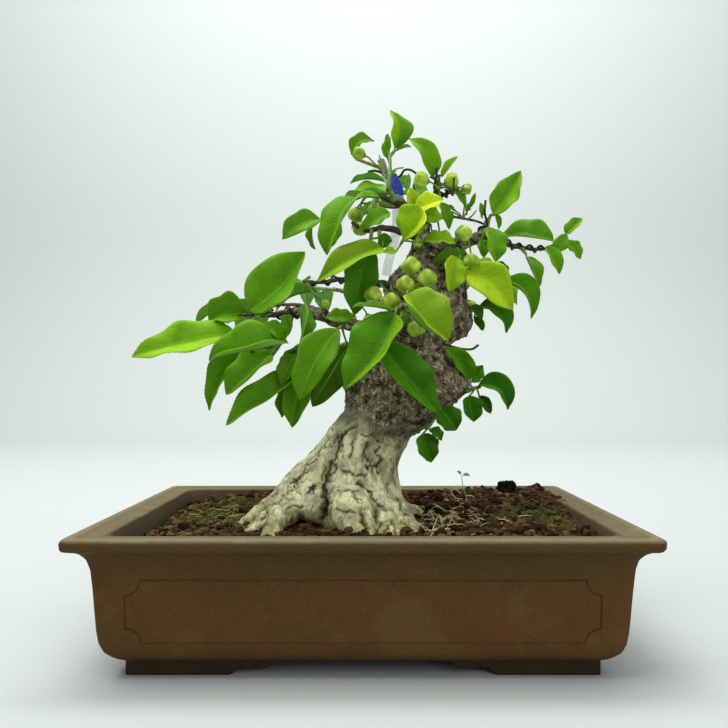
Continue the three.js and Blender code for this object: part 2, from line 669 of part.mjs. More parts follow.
// A wire of one thickness through the points
function wire(points, grow) {
  const radius = WIRE_RADIUS + grow;
  const section = new THREE.Shape();
  for (let side = 0; side < WIRE_SIDES; side++) {
    const angle = (2 * Math.PI * side) / WIRE_SIDES;
    const corner = [radius * Math.cos(angle), radius * Math.sin(angle)];
    if (side === 0) section.moveTo(...corner);
    else section.lineTo(...corner);
  }
  const path = new THREE.CatmullRomCurve3(points);
  return solid(
    new THREE.ExtrudeGeometry(section, { steps: points.length - 1, bevelEnabled: false, extrudePath: path }),
  );
}

// Half a blade's width at a share of its length, where its widest half is 1
const WIDEST = BLADE_NEAR_BASE / (BLADE_NEAR_BASE + BLADE_NEAR_TIP);

function bladeOutline(share) {
  return (share / WIDEST) ** BLADE_NEAR_BASE * ((1 - share) / (1 - WIDEST)) ** BLADE_NEAR_TIP;
}

// A leaf with its petiole: `start` is inside the stem, and the blade runs from base to tip
function leaf(start, { base, tip, width, face, arch, fold }, grow) {
  const length = base.distanceTo(tip);
  const along = tip.clone().sub(base).normalize();
  const up = face.clone().addScaledVector(along, -face.dot(along)).normalize();
  const tilt = degrees(fold);
  const half = (BLADE_THICKNESS / 2 + grow) / Math.cos(tilt);
  const section = (middle, normal, side, halfWidth, rise, thick) => {
    const edge = (sign) => middle.clone().addScaledVector(side, sign * halfWidth).addScaledVector(normal, rise);
    const left = edge(1);
    const right = edge(-1);
    const above = (p) => p.clone().addScaledVector(normal, thick);
    const below = (p) => p.clone().addScaledVector(normal, -thick);
    return [above(right), above(middle), above(left), below(left), below(middle), below(right)];
  };
  const rings = [];
  const stalk = base.clone().sub(start).normalize();
  const stalkUp = up.clone().addScaledVector(stalk, -up.dot(stalk)).normalize();
  const stalkSide = stalk.clone().cross(stalkUp);
  const thin = PETIOLE_RADIUS + grow;
  const threeCornered = (middle, normal, side) =>
    [60, 180, 300].map((angle) =>
      middle
        .clone()
        .addScaledVector(side, -thin * 1.2 * Math.cos(degrees(angle)))
        .addScaledVector(normal, thin * 1.2 * Math.sin(degrees(angle))),
    );
  rings.push(threeCornered(start, stalkUp, stalkSide));
  const longPetiole = length > SMALL_LEAF && base.distanceTo(start) > SHORT_PETIOLE;
  if (longPetiole) rings.push(threeCornered(base, up, along.clone().cross(up)));
  const shortStations = length > SMALL_LEAF ? [0.2, 0.5, 0.8] : [0.3, 0.72];
  const stations = length > LONG_LEAF ? [0.14, 0.37, 0.63, 0.87] : shortStations;
  for (const share of stations) {
    const middle = base
      .clone()
      .lerp(tip, share)
      .addScaledVector(up, arch * length * 4 * share * (1 - share));
    const tangent = along
      .clone()
      .addScaledVector(up, arch * 4 * (1 - 2 * share))
      .normalize();
    const normal = up.clone().addScaledVector(tangent, -up.dot(tangent)).normalize();
    const side = tangent.clone().cross(normal);
    const reach = (width / 2) * bladeOutline(share);
    rings.push(section(middle, normal, side, reach * Math.cos(tilt) + grow, reach * Math.sin(tilt), half));
  }
  rings.push([tip.clone().addScaledVector(along, grow)]);
  return solid(loft(rings, [3, 4]));
}

// The way a face looks, from degrees round from the front and degrees up
function looking(round, up) {
  const [a, b] = [degrees(round), degrees(up)];
  return new THREE.Vector3(Math.sin(a) * Math.cos(b), -Math.cos(a) * Math.cos(b), Math.sin(b));
}

// Draws between 0 and 1 that are the same each time
function draws(seed) {
  let state = seed;
  return () => {
    state = (state * 16807) % 2147483647;
    return state / 2147483647;
  };
}

const STEM_SIDES = 3;
const STEM_RADII = [1.3, 1.1, 0.9];

// A shoot from a table: stem and leaves fused
function shoot({ stem: places, leaves }, grow) {
  const points = places.map(seen);
  const curve = new THREE.CatmullRomCurve3(points);
  const parts = [stem(points, STEM_RADII, STEM_SIDES, 3, grow)];
  for (const [at, bx, bz, by, tx, tz, ty, width, round, up, arch, fold] of leaves) {
    const blade = {
      base: seen([bx, bz, by]), tip: seen([tx, tz, ty]), width, face: looking(round, up), arch, fold,
    };
    parts.push(leaf(curve.getPoint(at), blade, grow));
  }
  return joined(parts);
}

// A shoot grown by rule from the end of a limb
function ruledShoot({ limb, heading, reach, pairs, leaf: longest, seed }, grow) {
  const draw = draws(seed);
  const between = (low, high) => low + (high - low) * draw();
  const ends = LIMBS[limb].points.slice(-2).map(seen);
  const forward = point(heading).normalize();
  const across = forward.clone().cross(new THREE.Vector3(0, 0, 1)).normalize();
  const points = [
    ends[1].clone().lerp(ends[0], 0.15),
    ends[1].clone().addScaledVector(forward, reach * 0.5),
    ends[1].clone().addScaledVector(forward, reach).add(new THREE.Vector3(0, 0, reach * 0.12)),
  ];
  const curve = new THREE.CatmullRomCurve3(points);
  const parts = [stem(points, STEM_RADII, STEM_SIDES, 3, grow)];
  for (let pair = 0; pair < pairs; pair++) {
    const at = 0.3 + (0.68 * pair) / (pairs - 1);
    const start = curve.getPoint(at);
    for (const sign of [-1, 1]) {
      const length = longest * (0.72 + 0.28 * Math.sin(Math.PI * at)) * between(0.88, 1.04);
      const spread = degrees(between(48, 66) - 22 * at);
      const droop = -between(0.15, 0.5) - 0.12 * (pairs - 1 - pair);
      const way = forward
        .clone()
        .multiplyScalar(Math.cos(spread))
        .addScaledVector(across, sign * Math.sin(spread));
      way.z += droop;
      way.normalize();
      const base = start.clone().addScaledVector(way, 3.5);
      const tip = start.clone().addScaledVector(way, 3.5 + length);
      const face = new THREE.Vector3(between(-0.35, 0.35), between(-0.3, 0.3), 1);
      const blade = { base, tip, width: length * between(0.42, 0.5), face, arch: between(0.06, 0.12), fold: 16 };
      parts.push(leaf(start, blade, grow));
    }
  }
  return joined(parts);
}

// A capsule with four lobes, its stalk coming in along `axis`
function fruit(middle, axis, diameter, grow) {
  const radius = diameter / 2 + grow;
  const geometry = new THREE.SphereGeometry(1, FRUIT_SIDES, FRUIT_STACKS);
  const places = geometry.attributes.position;
  for (let i = 0; i < places.count; i++) {
    const round = Math.atan2(places.getZ(i), places.getX(i));
    const level = places.getY(i);
    const lobe = 1 - FRUIT_LOBE_DEPTH * 0.5 * (1 - Math.cos(4 * round)) * (1 - level * level);
    const wide = lobe * radius;
    places.setXYZ(i, places.getX(i) * wide, level * radius * FRUIT_FLATNESS, places.getZ(i) * wide);
  }
  geometry.applyQuaternion(new THREE.Quaternion().setFromUnitVectors(new THREE.Vector3(0, 1, 0), axis));
  geometry.translate(...middle.toArray());
  return solid(geometry);
}

function bunch({ root, fork, fruits }, grow) {
  const [start, middle] = [seen(root), seen(fork)];
  const parts = [stem([start, middle], [STALK_RADIUS + 0.3, STALK_RADIUS + 0.1], 3, 1, grow)];
  for (const [x, z, depth, diameter] of fruits) {
    const place = seen([x, z, depth]);
    const bend = middle.clone().lerp(place, 0.45).add(new THREE.Vector3(0, -0.8, 1));
    const axis = bend.clone().sub(place).normalize();
    const stalk = [middle, bend, place.clone().addScaledVector(axis, diameter * 0.3)];
    parts.push(stem(stalk, [STALK_RADIUS, STALK_RADIUS, STALK_RADIUS], 3, 2, grow));
    parts.push(fruit(place, axis, diameter, grow));
  }
  return joined(parts);
}

// Trunk
function trunkRing([z, left, right, front, back], grow) {
  const middle = [(left + right) / 2, (front + back) / 2];
  const ring = [];
  for (let side = 0; side < TRUNK_SIDES; side++) {
    const turn = (360 * side) / TRUNK_SIDES;
    const angle = degrees(turn);
    const apart = (other) => Math.abs(((turn - other + 540) % 360) - 180);
    let share = 1;
    for (const [where, low, high, depth, spread] of FURROWS) {
      const begun = THREE.MathUtils.smoothstep(z, low - 6, low);
      const ended = THREE.MathUtils.smoothstep(z, high - 12, high);
      share -= depth * begun * (1 - ended) * Math.exp(-((apart(where) / spread) ** 2));
    }
    let raised = grow;
    for (const [where, level, height, radius] of KNOBS) {
      const away = Math.hypot((degrees(apart(where)) * (right - left)) / 2, z - level);
      raised += height * Math.exp(-((away / radius) ** 2) * 1.6);
    }
    const x = middle[0] + (((right - left) / 2) * share + raised) * Math.cos(angle);
    const y = middle[1] + (((back - front) / 2) * share + raised) * Math.sin(angle);
    ring.push(new THREE.Vector3(x, y, z));
  }
  return ring;
}

function trunk(grow) {
  const rings = TRUNK_LEVELS.map((level) => trunkRing(level, grow));
  rings.at(-1).forEach((place) => (place.z += grow));
  const parts = [solid(loft(rings))];
  for (const { points, radii } of ROOTS)
    parts.push(stem(points.map(point), radii, ROOT_SIDES, ROOT_STEPS, grow));
  for (const { points, radii, sides, steps } of Object.values(LIMBS))
    parts.push(stem(points.map(seen), radii, sides, steps, grow));
  return joined(parts);
}

// A wire wound on a limb, clear of its bark, with a free end
function trainingWire({ limb, from, to, turns, start, end }, grow) {
  const points = [];
  if (limb) {
    const { points: places, radii } = LIMBS[limb];
    const curve = new THREE.CatmullRomCurve3(places.map(seen));
    const fine = 60;
    const frames = curve.computeFrenetFrames(fine);
    const steps = Math.round(turns * WIRE_STEPS_PER_TURN);
    for (let step = 0; step <= steps; step++) {
      const share = from + ((to - from) * step) / steps;
      const frame = Math.round(share * fine);
      const along = share * (radii.length - 1);
      const before = Math.min(Math.floor(along), radii.length - 2);
      const bark = THREE.MathUtils.lerp(radii[before], radii[before + 1], along - before);
      const clear = (bark + WIRE_RADIUS + GAP) / Math.cos(Math.PI / WIRE_STEPS_PER_TURN) + 0.1;
      const angle = degrees(start) + (2 * Math.PI * turns * step) / steps;
      points.push(
        curve
          .getPointAt(share)
          .addScaledVector(frames.normals[frame], clear * Math.cos(angle))
          .addScaledVector(frames.binormals[frame], clear * Math.sin(angle)),
      );
    }
  }
  return wire([...points, ...end.map(seen)], grow);
}

// Pot
function roundedRing(z, inset, radius) {
  const [halfLength, halfWidth] = [RIM_LENGTH / 2 - inset, RIM_WIDTH / 2 - inset];
  const ring = [];
  for (let corner = 0; corner < 4; corner++) {
    const x = [1, -1, -1, 1][corner] * (halfLength - radius);
    const y = [1, 1, -1, -1][corner] * (halfWidth - radius);
    for (let step = 0; step <= CORNER_STEPS; step++) {
      const angle = (Math.PI / 2) * (corner + step / CORNER_STEPS);
      ring.push(new THREE.Vector3(x + radius * Math.cos(angle), y + radius * Math.sin(angle), z));
    }
  }
  return ring;
}

// One leg of a corner foot, seen from its side: flat on the ground, then a stepped ledge that curves up to the base
function footLeg(outerEnd) {
  const groundEnd = outerEnd - 43;
  const ledgeEnd = outerEnd - 59;
  const ledge = 3;
  const top = FOOT_HEIGHT + 1;
  const profile = new THREE.Shape();
  profile.moveTo(outerEnd, 0);
  profile.lineTo(outerEnd, top);
  profile.lineTo(ledgeEnd - 5, top);
  profile.quadraticCurveTo(ledgeEnd - 2, FOOT_HEIGHT - 1, ledgeEnd, ledge);
  profile.lineTo(groundEnd - 3.5, ledge);
  profile.quadraticCurveTo(groundEnd - 2, 0.6, groundEnd, 0);
  const leg = new THREE.ExtrudeGeometry(profile, { depth: FOOT_THICKNESS, bevelEnabled: false, curveSegments: 3 });
  return leg.rotateX(Math.PI / 2);
}

function foot(signX, signY) {
  const [outX, outY] = [RIM_LENGTH / 2 - FOOT_OUTER_INSET, RIM_WIDTH / 2 - FOOT_OUTER_INSET];
  const long = footLeg(outX).translate(0, outY, 0);
  const short = footLeg(outY).rotateZ(Math.PI / 2).translate(outX - FOOT_THICKNESS, 0, 0);
  return joined([long, short].map((leg) => solid(leg.scale(signX, signY, 1))));
}

// The ring that cuts a panel line into a wall, lying in the XY plane
function panelCutter(halfLength) {
  const outline = (inset) => {
    const [x, y] = [halfLength - inset, (PANEL_HIGH - PANEL_LOW) / 2 - inset];
    const notch = PANEL_NOTCH + inset / 2;
    const path = new THREE.Path();
    path.moveTo(-x + notch, -y);
    path.lineTo(x - notch, -y);
    path.absarc(x, -y, notch, Math.PI, Math.PI / 2, true);
    path.lineTo(x, y - notch);
    path.absarc(x, y, notch, -Math.PI / 2, -Math.PI, true);
    path.lineTo(-x + notch, y);
    path.absarc(-x, y, notch, 0, -Math.PI / 2, true);
    path.lineTo(-x, -y + notch);
    path.absarc(-x, -y, notch, Math.PI / 2, 0, true);
    return path.getPoints(2);
  };
  const ring = new THREE.Shape(outline(0));
  ring.holes.push(new THREE.Path(outline(PANEL_LINE_WIDTH).reverse()));
  return new THREE.ExtrudeGeometry(ring, { depth: 4, bevelEnabled: false });
}

function pot() {
  let body = solid(loft(POT_LEVELS.map((level) => roundedRing(...level))));
  const [low, high] = [POT_LEVELS[3], POT_LEVELS[5]];
  const lean = Math.atan2(low[1] - high[1], high[0] - low[0]);
  const middle = (PANEL_LOW + PANEL_HIGH) / 2;
  const inset = THREE.MathUtils.mapLinear(middle, low[0], high[0], low[1], high[1]);
  const walls = [
    [0, RIM_WIDTH / 2, PANEL_HALF_LENGTH],
    [Math.PI / 2, RIM_LENGTH / 2, PANEL_HALF_WIDTH],
    [Math.PI, RIM_WIDTH / 2, PANEL_HALF_LENGTH],
    [-Math.PI / 2, RIM_LENGTH / 2, PANEL_HALF_WIDTH],
  ];
  for (const [turn, reach, halfLength] of walls) {
    const cutter = panelCutter(halfLength)
      .translate(0, 0, -PANEL_LINE_DEPTH)
      .rotateX(Math.PI / 2 + lean)
      .translate(0, inset - reach, middle)
      .rotateZ(turn);
    body = body.subtract(solid(cutter));
  }
  for (const sign of [-1, 1]) {
    const hole = new THREE.CylinderGeometry(DRAIN_HOLE_RADIUS, DRAIN_HOLE_RADIUS, 30, 12).rotateX(Math.PI / 2);
    body = body.subtract(solid(hole.translate(sign * DRAIN_HOLE_X, 0, FLOOR_TOP)));
  }
  for (const signX of [-1, 1]) for (const signY of [-1, 1]) body = body.add(foot(signX, signY));
  return body;
}

// A plastic mesh over a drain hole
function drainMesh(sign, grow) {
  const side = DRAIN_MESH_SIDE + 2 * grow;
  const thickness = DRAIN_MESH_THICKNESS + 2 * grow;
  let sheet = solid(new THREE.BoxGeometry(side, side, thickness));
  if (grow === 0)
    for (const column of [-1, 0, 1])
      for (const row of [-1, 0, 1]) {
        const opening = new THREE.BoxGeometry(DRAIN_MESH_OPENING, DRAIN_MESH_OPENING, 2 * thickness);
        sheet = sheet.subtract(solid(opening.translate(column * DRAIN_MESH_PITCH, row * DRAIN_MESH_PITCH, 0)));
      }
  return sheet.translate(sign * DRAIN_HOLE_X, 0, FLOOR_TOP + GAP + DRAIN_MESH_THICKNESS / 2);
}

// Soil: the inside of the pot, up to a surface that mounds towards the right and the back
function soilHeight(x, y) {
  const [u, v] = [x / (RIM_LENGTH / 2 - RIM_INNER_INSET), y / (RIM_WIDTH / 2 - RIM_INNER_INSET)];
  const mound = (1 - u ** 4) * (1 - v ** 4);
  const lumps = 0.45 * Math.sin(x / 5.3 + 1) * Math.sin(y / 4.7 + 2) + 0.3 * Math.sin(x / 2.9 + y / 3.7);
  const slope = SOIL_RISE_RIGHT * u + SOIL_RISE_BACK * v + SOIL_RISE_CORNER * u * v;
  return SOIL_EDGE + SOIL_MOUND * mound + slope + lumps;
}

function soil() {
  const inner = POT_LEVELS.slice(-4).reverse();
  const rings = inner.map(([z, inset, radius]) =>
    roundedRing(z === FLOOR_TOP ? z + GAP : z, inset + GAP, radius),
  );
  const block = solid(loft(rings));
  const surface = new THREE.PlaneGeometry(RIM_LENGTH, RIM_WIDTH, SOIL_COLUMNS, SOIL_ROWS);
  const places = surface.attributes.position;
  const raised = [];
  const lowered = [];
  for (let i = 0; i < places.count; i++) {
    const [x, y] = [places.getX(i), places.getY(i)];
    raised.push(new THREE.Vector3(x, y, soilHeight(x, y)));
    lowered.push(new THREE.Vector3(x, y, 0));
  }
  const faces = [...surface.index.array];
  const count = places.count;
  const under = [];
  for (let i = 0; i < faces.length; i += 3)
    under.push(faces[i] + count, faces[i + 2] + count, faces[i + 1] + count);
  const columns = SOIL_COLUMNS + 1;
  const border = [];
  for (let i = 0; i < SOIL_COLUMNS; i++) border.push(i);
  for (let i = 0; i < SOIL_ROWS; i++) border.push(i * columns + SOIL_COLUMNS);
  for (let i = SOIL_COLUMNS; i > 0; i--) border.push(SOIL_ROWS * columns + i);
  for (let i = SOIL_ROWS; i > 0; i--) border.push(i * columns);
  const skirt = [];
  border.forEach((a, i) => {
    const b = border[(i + 1) % border.length];
    skirt.push(a, b, b + count, a, b + count, a + count);
  });
  const ground = new THREE.BufferGeometry().setFromPoints([...raised, ...lowered]);
  ground.setIndex([...faces, ...under, ...skirt]);
  return block.intersect(solid(ground));
}

// The label: one plastic strip, bent over the leader and hanging down behind it
const LABEL_WIDTH = 6.5;
const LABEL_THICKNESS = 0.8;
const LABEL_PATH = [
  [13.5, 228.5, -9], [17.5, 219, -10], [17, 212, -11], [14.5, 203, -12], [13.3, 190, -11], [12.6, 178, -10],
];

function label(grow) {
  const [half, thick] = [LABEL_WIDTH / 2 + grow, LABEL_THICKNESS / 2 + grow];
  const curve = new THREE.CatmullRomCurve3(LABEL_PATH.map(seen));
  const steps = 7;
  const rings = [];
  for (let step = 0; step <= steps; step++) {
    const along = curve.getTangentAt(step / steps);
    const across = new THREE.Vector3(1, -0.25, 0.3).addScaledVector(along, -along.x).normalize();
    across.addScaledVector(along, -across.dot(along)).normalize();
    const out = along.clone().cross(across);
    const middle = curve.getPointAt(step / steps);
    const corner = (i, j) => middle.clone().addScaledVector(across, i * half).addScaledVector(out, j * thick);
    rings.push([corner(-1, -1), corner(1, -1), corner(1, 1), corner(-1, 1)]);
  }
  return solid(loft(rings));
}

// The seedling: a thread of a stem with two seed leaves
const SEEDLING_FOOT = [52.5, 62, 30];

function seedling(grow) {
  const foot = seen(SEEDLING_FOOT);
  const top = seen([49.5, 76, 28]);
  const bend = foot.clone().lerp(top, 0.6).add(new THREE.Vector3(-0.6, 0, 0));
  const points = [foot.clone().setZ(foot.z - 4), foot, bend, top];
  const parts = [stem(points, [0.5, 0.5, 0.5, 0.5], 5, 5, grow)];
  const blades = [[47.5, 77.7, 28], [53.5, 76, 27]];
  for (const place of blades) {
    const base = top.clone().lerp(seen(place), 0.3);
    const blade = { base, tip: seen(place), width: 3.4, face: looking(10, 40), arch: 0.08, fold: 8 };
    parts.push(leaf(top, blade, grow));
  }
  return joined(parts);
}

// Assembly. A piece is cut clear of every piece placed before it, and a scrap that a cut leaves is dropped.
const bonsai = new THREE.Group();
bonsai.name = "spindle_tree_bonsai";
const placed = [];

const meets = (a, b) => a.min.every((low, i) => low < b.max[i] && b.min[i] < a.max[i]);

function place(name, finish, make) {
  let piece = make(0);
  for (const other of placed)
    if (meets(piece.boundingBox(), other.boundingBox())) piece = piece.subtract(other);
  const scraps = piece.decompose();
  const largest = scraps.reduce((best, next) => (next.volume() > best.volume() ? next : best));
  placed.push(make(GAP));
  const [color, roughness] = FINISHES[finish];
  const material = new THREE.MeshStandardMaterial({ name: finish, color, roughness, metalness: 0 });
  const mesh = new THREE.Mesh(geometryOf(largest), material);
  mesh.name = name;
  bonsai.add(mesh);
}

place("trunk", "bark", trunk);
place("pot", "clay", pot);
place("drain_mesh_left", "drain_mesh", (grow) => drainMesh(-1, grow));
place("drain_mesh_right", "drain_mesh", (grow) => drainMesh(1, grow));
for (const spec of WIRES) place(spec.name, "wire", (grow) => trainingWire(spec, grow));
place("label", "label", label);
place("seedling", "seedling", seedling);
place("soil", "soil", soil);
for (const spec of BUNCHES) place(spec.name, "fruit", (grow) => bunch(spec, grow));
for (const spec of SHOOTS) place(spec.name, spec.finish, (grow) => shoot(spec, grow));
for (const spec of RULED_SHOOTS) place(spec.name, spec.finish, (grow) => ruledShoot(spec, grow));

export default bonsai;
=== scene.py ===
"""Spindle tree bonsai in a clay pot: its bark, leaves, fruit, wires, soil and clay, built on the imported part."""

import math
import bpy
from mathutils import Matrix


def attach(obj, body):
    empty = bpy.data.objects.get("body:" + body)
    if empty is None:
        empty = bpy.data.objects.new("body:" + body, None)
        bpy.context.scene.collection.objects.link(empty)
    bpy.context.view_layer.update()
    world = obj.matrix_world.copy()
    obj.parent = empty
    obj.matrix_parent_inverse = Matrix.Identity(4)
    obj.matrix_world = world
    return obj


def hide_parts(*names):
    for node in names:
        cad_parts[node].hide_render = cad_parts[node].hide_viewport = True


bl_info = {
    "name": "Spindle Tree Bonsai",
    "version": (1, 0, 0),
    "blender": (4, 5, 0),
    "location": "3D View > Sidebar > Bonsai",
    "description": "Models the finished pieces of a spindle tree bonsai and its pot",
    "category": "Object",
}

import bmesh
import bpy
import numpy as np
from bpy.props import FloatProperty, FloatVectorProperty, IntProperty, PointerProperty
from mathutils import Quaternion, Vector, noise

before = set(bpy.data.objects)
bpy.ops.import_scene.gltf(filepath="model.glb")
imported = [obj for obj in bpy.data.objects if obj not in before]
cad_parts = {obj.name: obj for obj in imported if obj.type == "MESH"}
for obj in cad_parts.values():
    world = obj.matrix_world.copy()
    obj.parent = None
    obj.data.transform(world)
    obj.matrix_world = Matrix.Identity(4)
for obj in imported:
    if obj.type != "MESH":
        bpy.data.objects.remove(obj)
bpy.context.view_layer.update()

MM = 0.001
BODY = "root"


def srgb(red, green, blue):
    """A colour as a painter reads it, 0 to 255, made linear."""

    def linear(value):
        value /= 255
        return value / 12.92 if value <= 0.04045 else ((value + 0.055) / 1.055) ** 2.4

    return linear(red), linear(green), linear(blue)


def tint(name, description, *shade):
    return FloatVectorProperty(
        name=name, description=description, subtype="COLOR", size=3, min=0, max=1, default=srgb(*shade)
    )


def length(name, description, millimetres, low=0.0):
    return FloatProperty(
        name=name, description=description, subtype="DISTANCE", unit="LENGTH", default=millimetres * MM,
        min=low * MM, precision=5,
    )


class PotSettings(bpy.types.PropertyGroup):
    clay: tint("Clay", "Main colour of the unglazed clay", 86, 59, 27)
    clay_red: tint("Red clay", "Warm patches that the kiln left", 90, 56, 28)
    # Olive clay: cool patches, and also the painted shade on the upper wall under the overhanging lip.
    clay_olive: tint("Olive clay", "Cool patches that the kiln left", 69, 57, 27)
    # The rim colour is partly worn clay and partly painted light on the top face of the lip.
    rim: tint("Rim", "The worn, paler clay on top of the lip", 104, 93, 66)
    line: length("Panel line", "Radius of the line pressed into each wall", 0.45)
    uneven: length("Unevenness", "How far the hand finish strays from flat", 0.12)


class SoilSettings(bpy.types.PropertyGroup):
    earth: tint("Soil", "Damp reddish brown soil", 70, 48, 28)
    crumb: tint("Crumbs", "The dry tops of the crumbs", 128, 104, 62)
    moss: tint("Moss", "Moss between the crumbs", 86, 88, 38)
    fibre: tint("Root fibres", "Fine dead roots on the soil", 216, 202, 156)
    grains: IntProperty(name="Grains", description="Number of loose grains", default=3600, min=0, max=9000)
    relief: length("Relief", "Height of the clumps of soil", 2.5)


class TrunkSettings(bpy.types.PropertyGroup):
    pale: tint("Pale bark", "Bark of the foot and the neck", 234, 234, 186)
    aged: tint("Aged bark", "Yellowish bark and lichen by the soil", 152, 146, 86)
    dark: tint("Dark bark", "Knobbly bark of the burl and the upper trunk", 116, 108, 84)
    fleck: tint("Flecks", "Pale ridges on the dark bark", 206, 200, 170)
    # The crack colour is also painted as shade in the front hollows and as the shadow under the burl.
    crack_and_shade: tint("Cracks", "Bottom of the cracks", 50, 42, 28)
    twig: tint("Twigs", "Thin bark of twigs", 98, 88, 62)
    crack_depth: length("Crack depth", "Depth of the cracks in the pale bark", 1.0)
    knob_height: length("Knob height", "Height of the small knobs on the dark bark", 1.7)


class LeafSettings(bpy.types.PropertyGroup):
    dark: tint("Old leaf", "Upper face of a shaded old leaf", 50, 108, 2)
    mid: tint("Leaf", "Upper face of a grown leaf", 94, 150, 16)
    young: tint("Young leaf", "Upper face of a young leaf", 142, 184, 26)
    under: tint("Underside", "Paler lower face", 122, 178, 64)
    vein: tint("Veins", "Midrib and side veins", 150, 190, 96)
    stalk: tint("Leaf stalk", "Green stems and leaf stalks", 112, 150, 62)
    thickness: length("Thickness", "Thickness of a blade", 0.34)
    tooth: length("Teeth", "Depth of the fine teeth on the edge", 0.22)


class FruitSettings(bpy.types.PropertyGroup):
    skin: tint("Skin", "Skin of an unripe capsule", 180, 212, 64)
    blush: tint("Blush", "Duller, browner skin on the lobes", 118, 148, 34)
    suture: tint("Sutures", "Where the lobes meet", 118, 150, 40)


class FittingSettings(bpy.types.PropertyGroup):
    wire: tint("Wire", "Dark coated training wire", 24, 22, 19)
    strip: tint("Label", "Translucent plastic of the plain label", 214, 224, 220)
    band: tint("Label band", "Plain coloured band on the label", 38, 66, 176)
    seedling: tint("Seedling", "Seed leaves of the small weed", 84, 128, 44)


class StageSettings(bpy.types.PropertyGroup):
    backdrop: tint("Backdrop", "Plain pale floor and wall", 188, 194, 191)
    lens: FloatProperty(name="Lens", description="Focal length in millimetres", default=39.14, min=10)
    key: FloatProperty(name="Key light", description="Power of the large light above", default=9.5, min=0, unit="POWER")
    fill: FloatProperty(name="Fill light", description="Power of the light in front", default=3.2, min=0, unit="POWER")


class BonsaiSettings(bpy.types.PropertyGroup):
    pot: PointerProperty(type=PotSettings)
    soil: PointerProperty(type=SoilSettings)
    trunk: PointerProperty(type=TrunkSettings)
    leaf: PointerProperty(type=LeafSettings)
    fruit: PointerProperty(type=FruitSettings)
    fitting: PointerProperty(type=FittingSettings)
    stage: PointerProperty(type=StageSettings)


# The pot: height, distance in from the edge of the lip, corner radius, from the base up and down inside
POT_LEVELS = [
  [6, 23, 4],
  [6.6, 19.4, 5],
  [8.2, 16, 5.5],
  [11, 13.2, 5.5],
  [15, 11.6, 5],
  [20, 10.9, 4.8],
  [36, 9.8, 4.6],
  [46, 9, 4.5],
  [50.5, 7.8, 4.5],
  [53, 5.8, 4],
  [54.4, 3.4, 4],
  [54.8, 1, 3.5],
  [55.6, 0.2, 3.5],
  [60 - 1.2, 0, 3.5],
  [60 - 0.3, 0.8, 3.5],
  [60, 2, 3.5],
  [60, 4.2, 4.2],
  [60 - 1, 5.4, 4.5],
  [60 - 0.8, 15 - 0.8, 7],
  [60 - 1.4, 15, 7.5],
  [20, 19.5, 8],
  [14.5, 23, 10],
  [13, 29, 12],
]

# The trunk: height, left, right, front and back edge
TRUNK_LEVELS = [
  [42, -52, 28, -40, 31],
  [51, -55, 27.5, -41, 32],
  [57, -53.5, 24.5, -38, 30.5],
  [64, -49, 20.4, -34, 28.5],
  [71, -43.5, 18, -30.5, 27],
  [78, -37.5, 17, -27.5, 25],
  [84, -31, 18.2, -26.5, 24.5],
  [90, -24, 20.5, -26, 24],
  [95.5, -20, 24.5, -26.5, 24],
  [100.5, -16.5, 31, -28.5, 25],
  [105.5, -13, 37.5, -30.5, 26.5],
  [111, -9, 43.5, -31.5, 27.5],
  [117, -9.3, 49, -32, 28],
  [123, -10.5, 52.5, -31.5, 28],
  [129, -10.5, 52.8, -30.5, 27],
  [134.5, -8, 49.5, -28, 25],
  [139, -3, 44.5, -24, 22],
  [142.5, 3, 44, -20.5, 19.5],
  [146.5, 8, 51.5, -20, 19],
  [152, 11.5, 54.8, -20.5, 19],
  [158.5, 12, 53.6, -20, 18.5],
  [165, 11, 52, -19, 17.5],
  [171, 10, 52, -17.5, 16.5],
  [177, 14, 50, -15, 14],
  [182.5, 19.5, 45.5, -12, 12],
  [188, 23, 40.5, -9.5, 9.5],
  [194, 24.5, 36.5, -7, 7.5],
  [200, 26.5, 34.5, -4.5, 5],
]

# Furrows between the root masses: angle, lowest and highest level, depth, half width in degrees
FURROWS = [
  [262, 30, 90, 0.2, 9],
  [238, 30, 64, 0.5, 20],
  [300, 30, 76, 0.14, 11],
  [335, 30, 74, 0.13, 12],
  [35, 30, 84, 0.15, 14],
  [80, 30, 74, 0.16, 13],
  [125, 30, 88, 0.15, 14],
  [180, 30, 70, 0.08, 10],
  [285, 82, 104, 0.06, 12],
  [250, 84, 104, 0.06, 10],
  [278, 128, 150, 0.09, 14],
  [60, 124, 150, 0.1, 16],
  [150, 130, 152, 0.08, 14],
]

# Large knobs: angle, level, height and radius
KNOBS = [
  [300, 112, 4, 9],
  [262, 118, 3, 8],
  [330, 122, 3.6, 9],
  [285, 133, 3, 7],
  [240, 128, 3, 8],
  [20, 118, 3, 9],
  [60, 111, 4, 10],
  [100, 124, 4, 10],
  [140, 113, 3.5, 9],
  [250, 156, 3, 8],
  [300, 166, 3, 8],
  [70, 158, 3.5, 9],
  [120, 168, 3, 8],
]

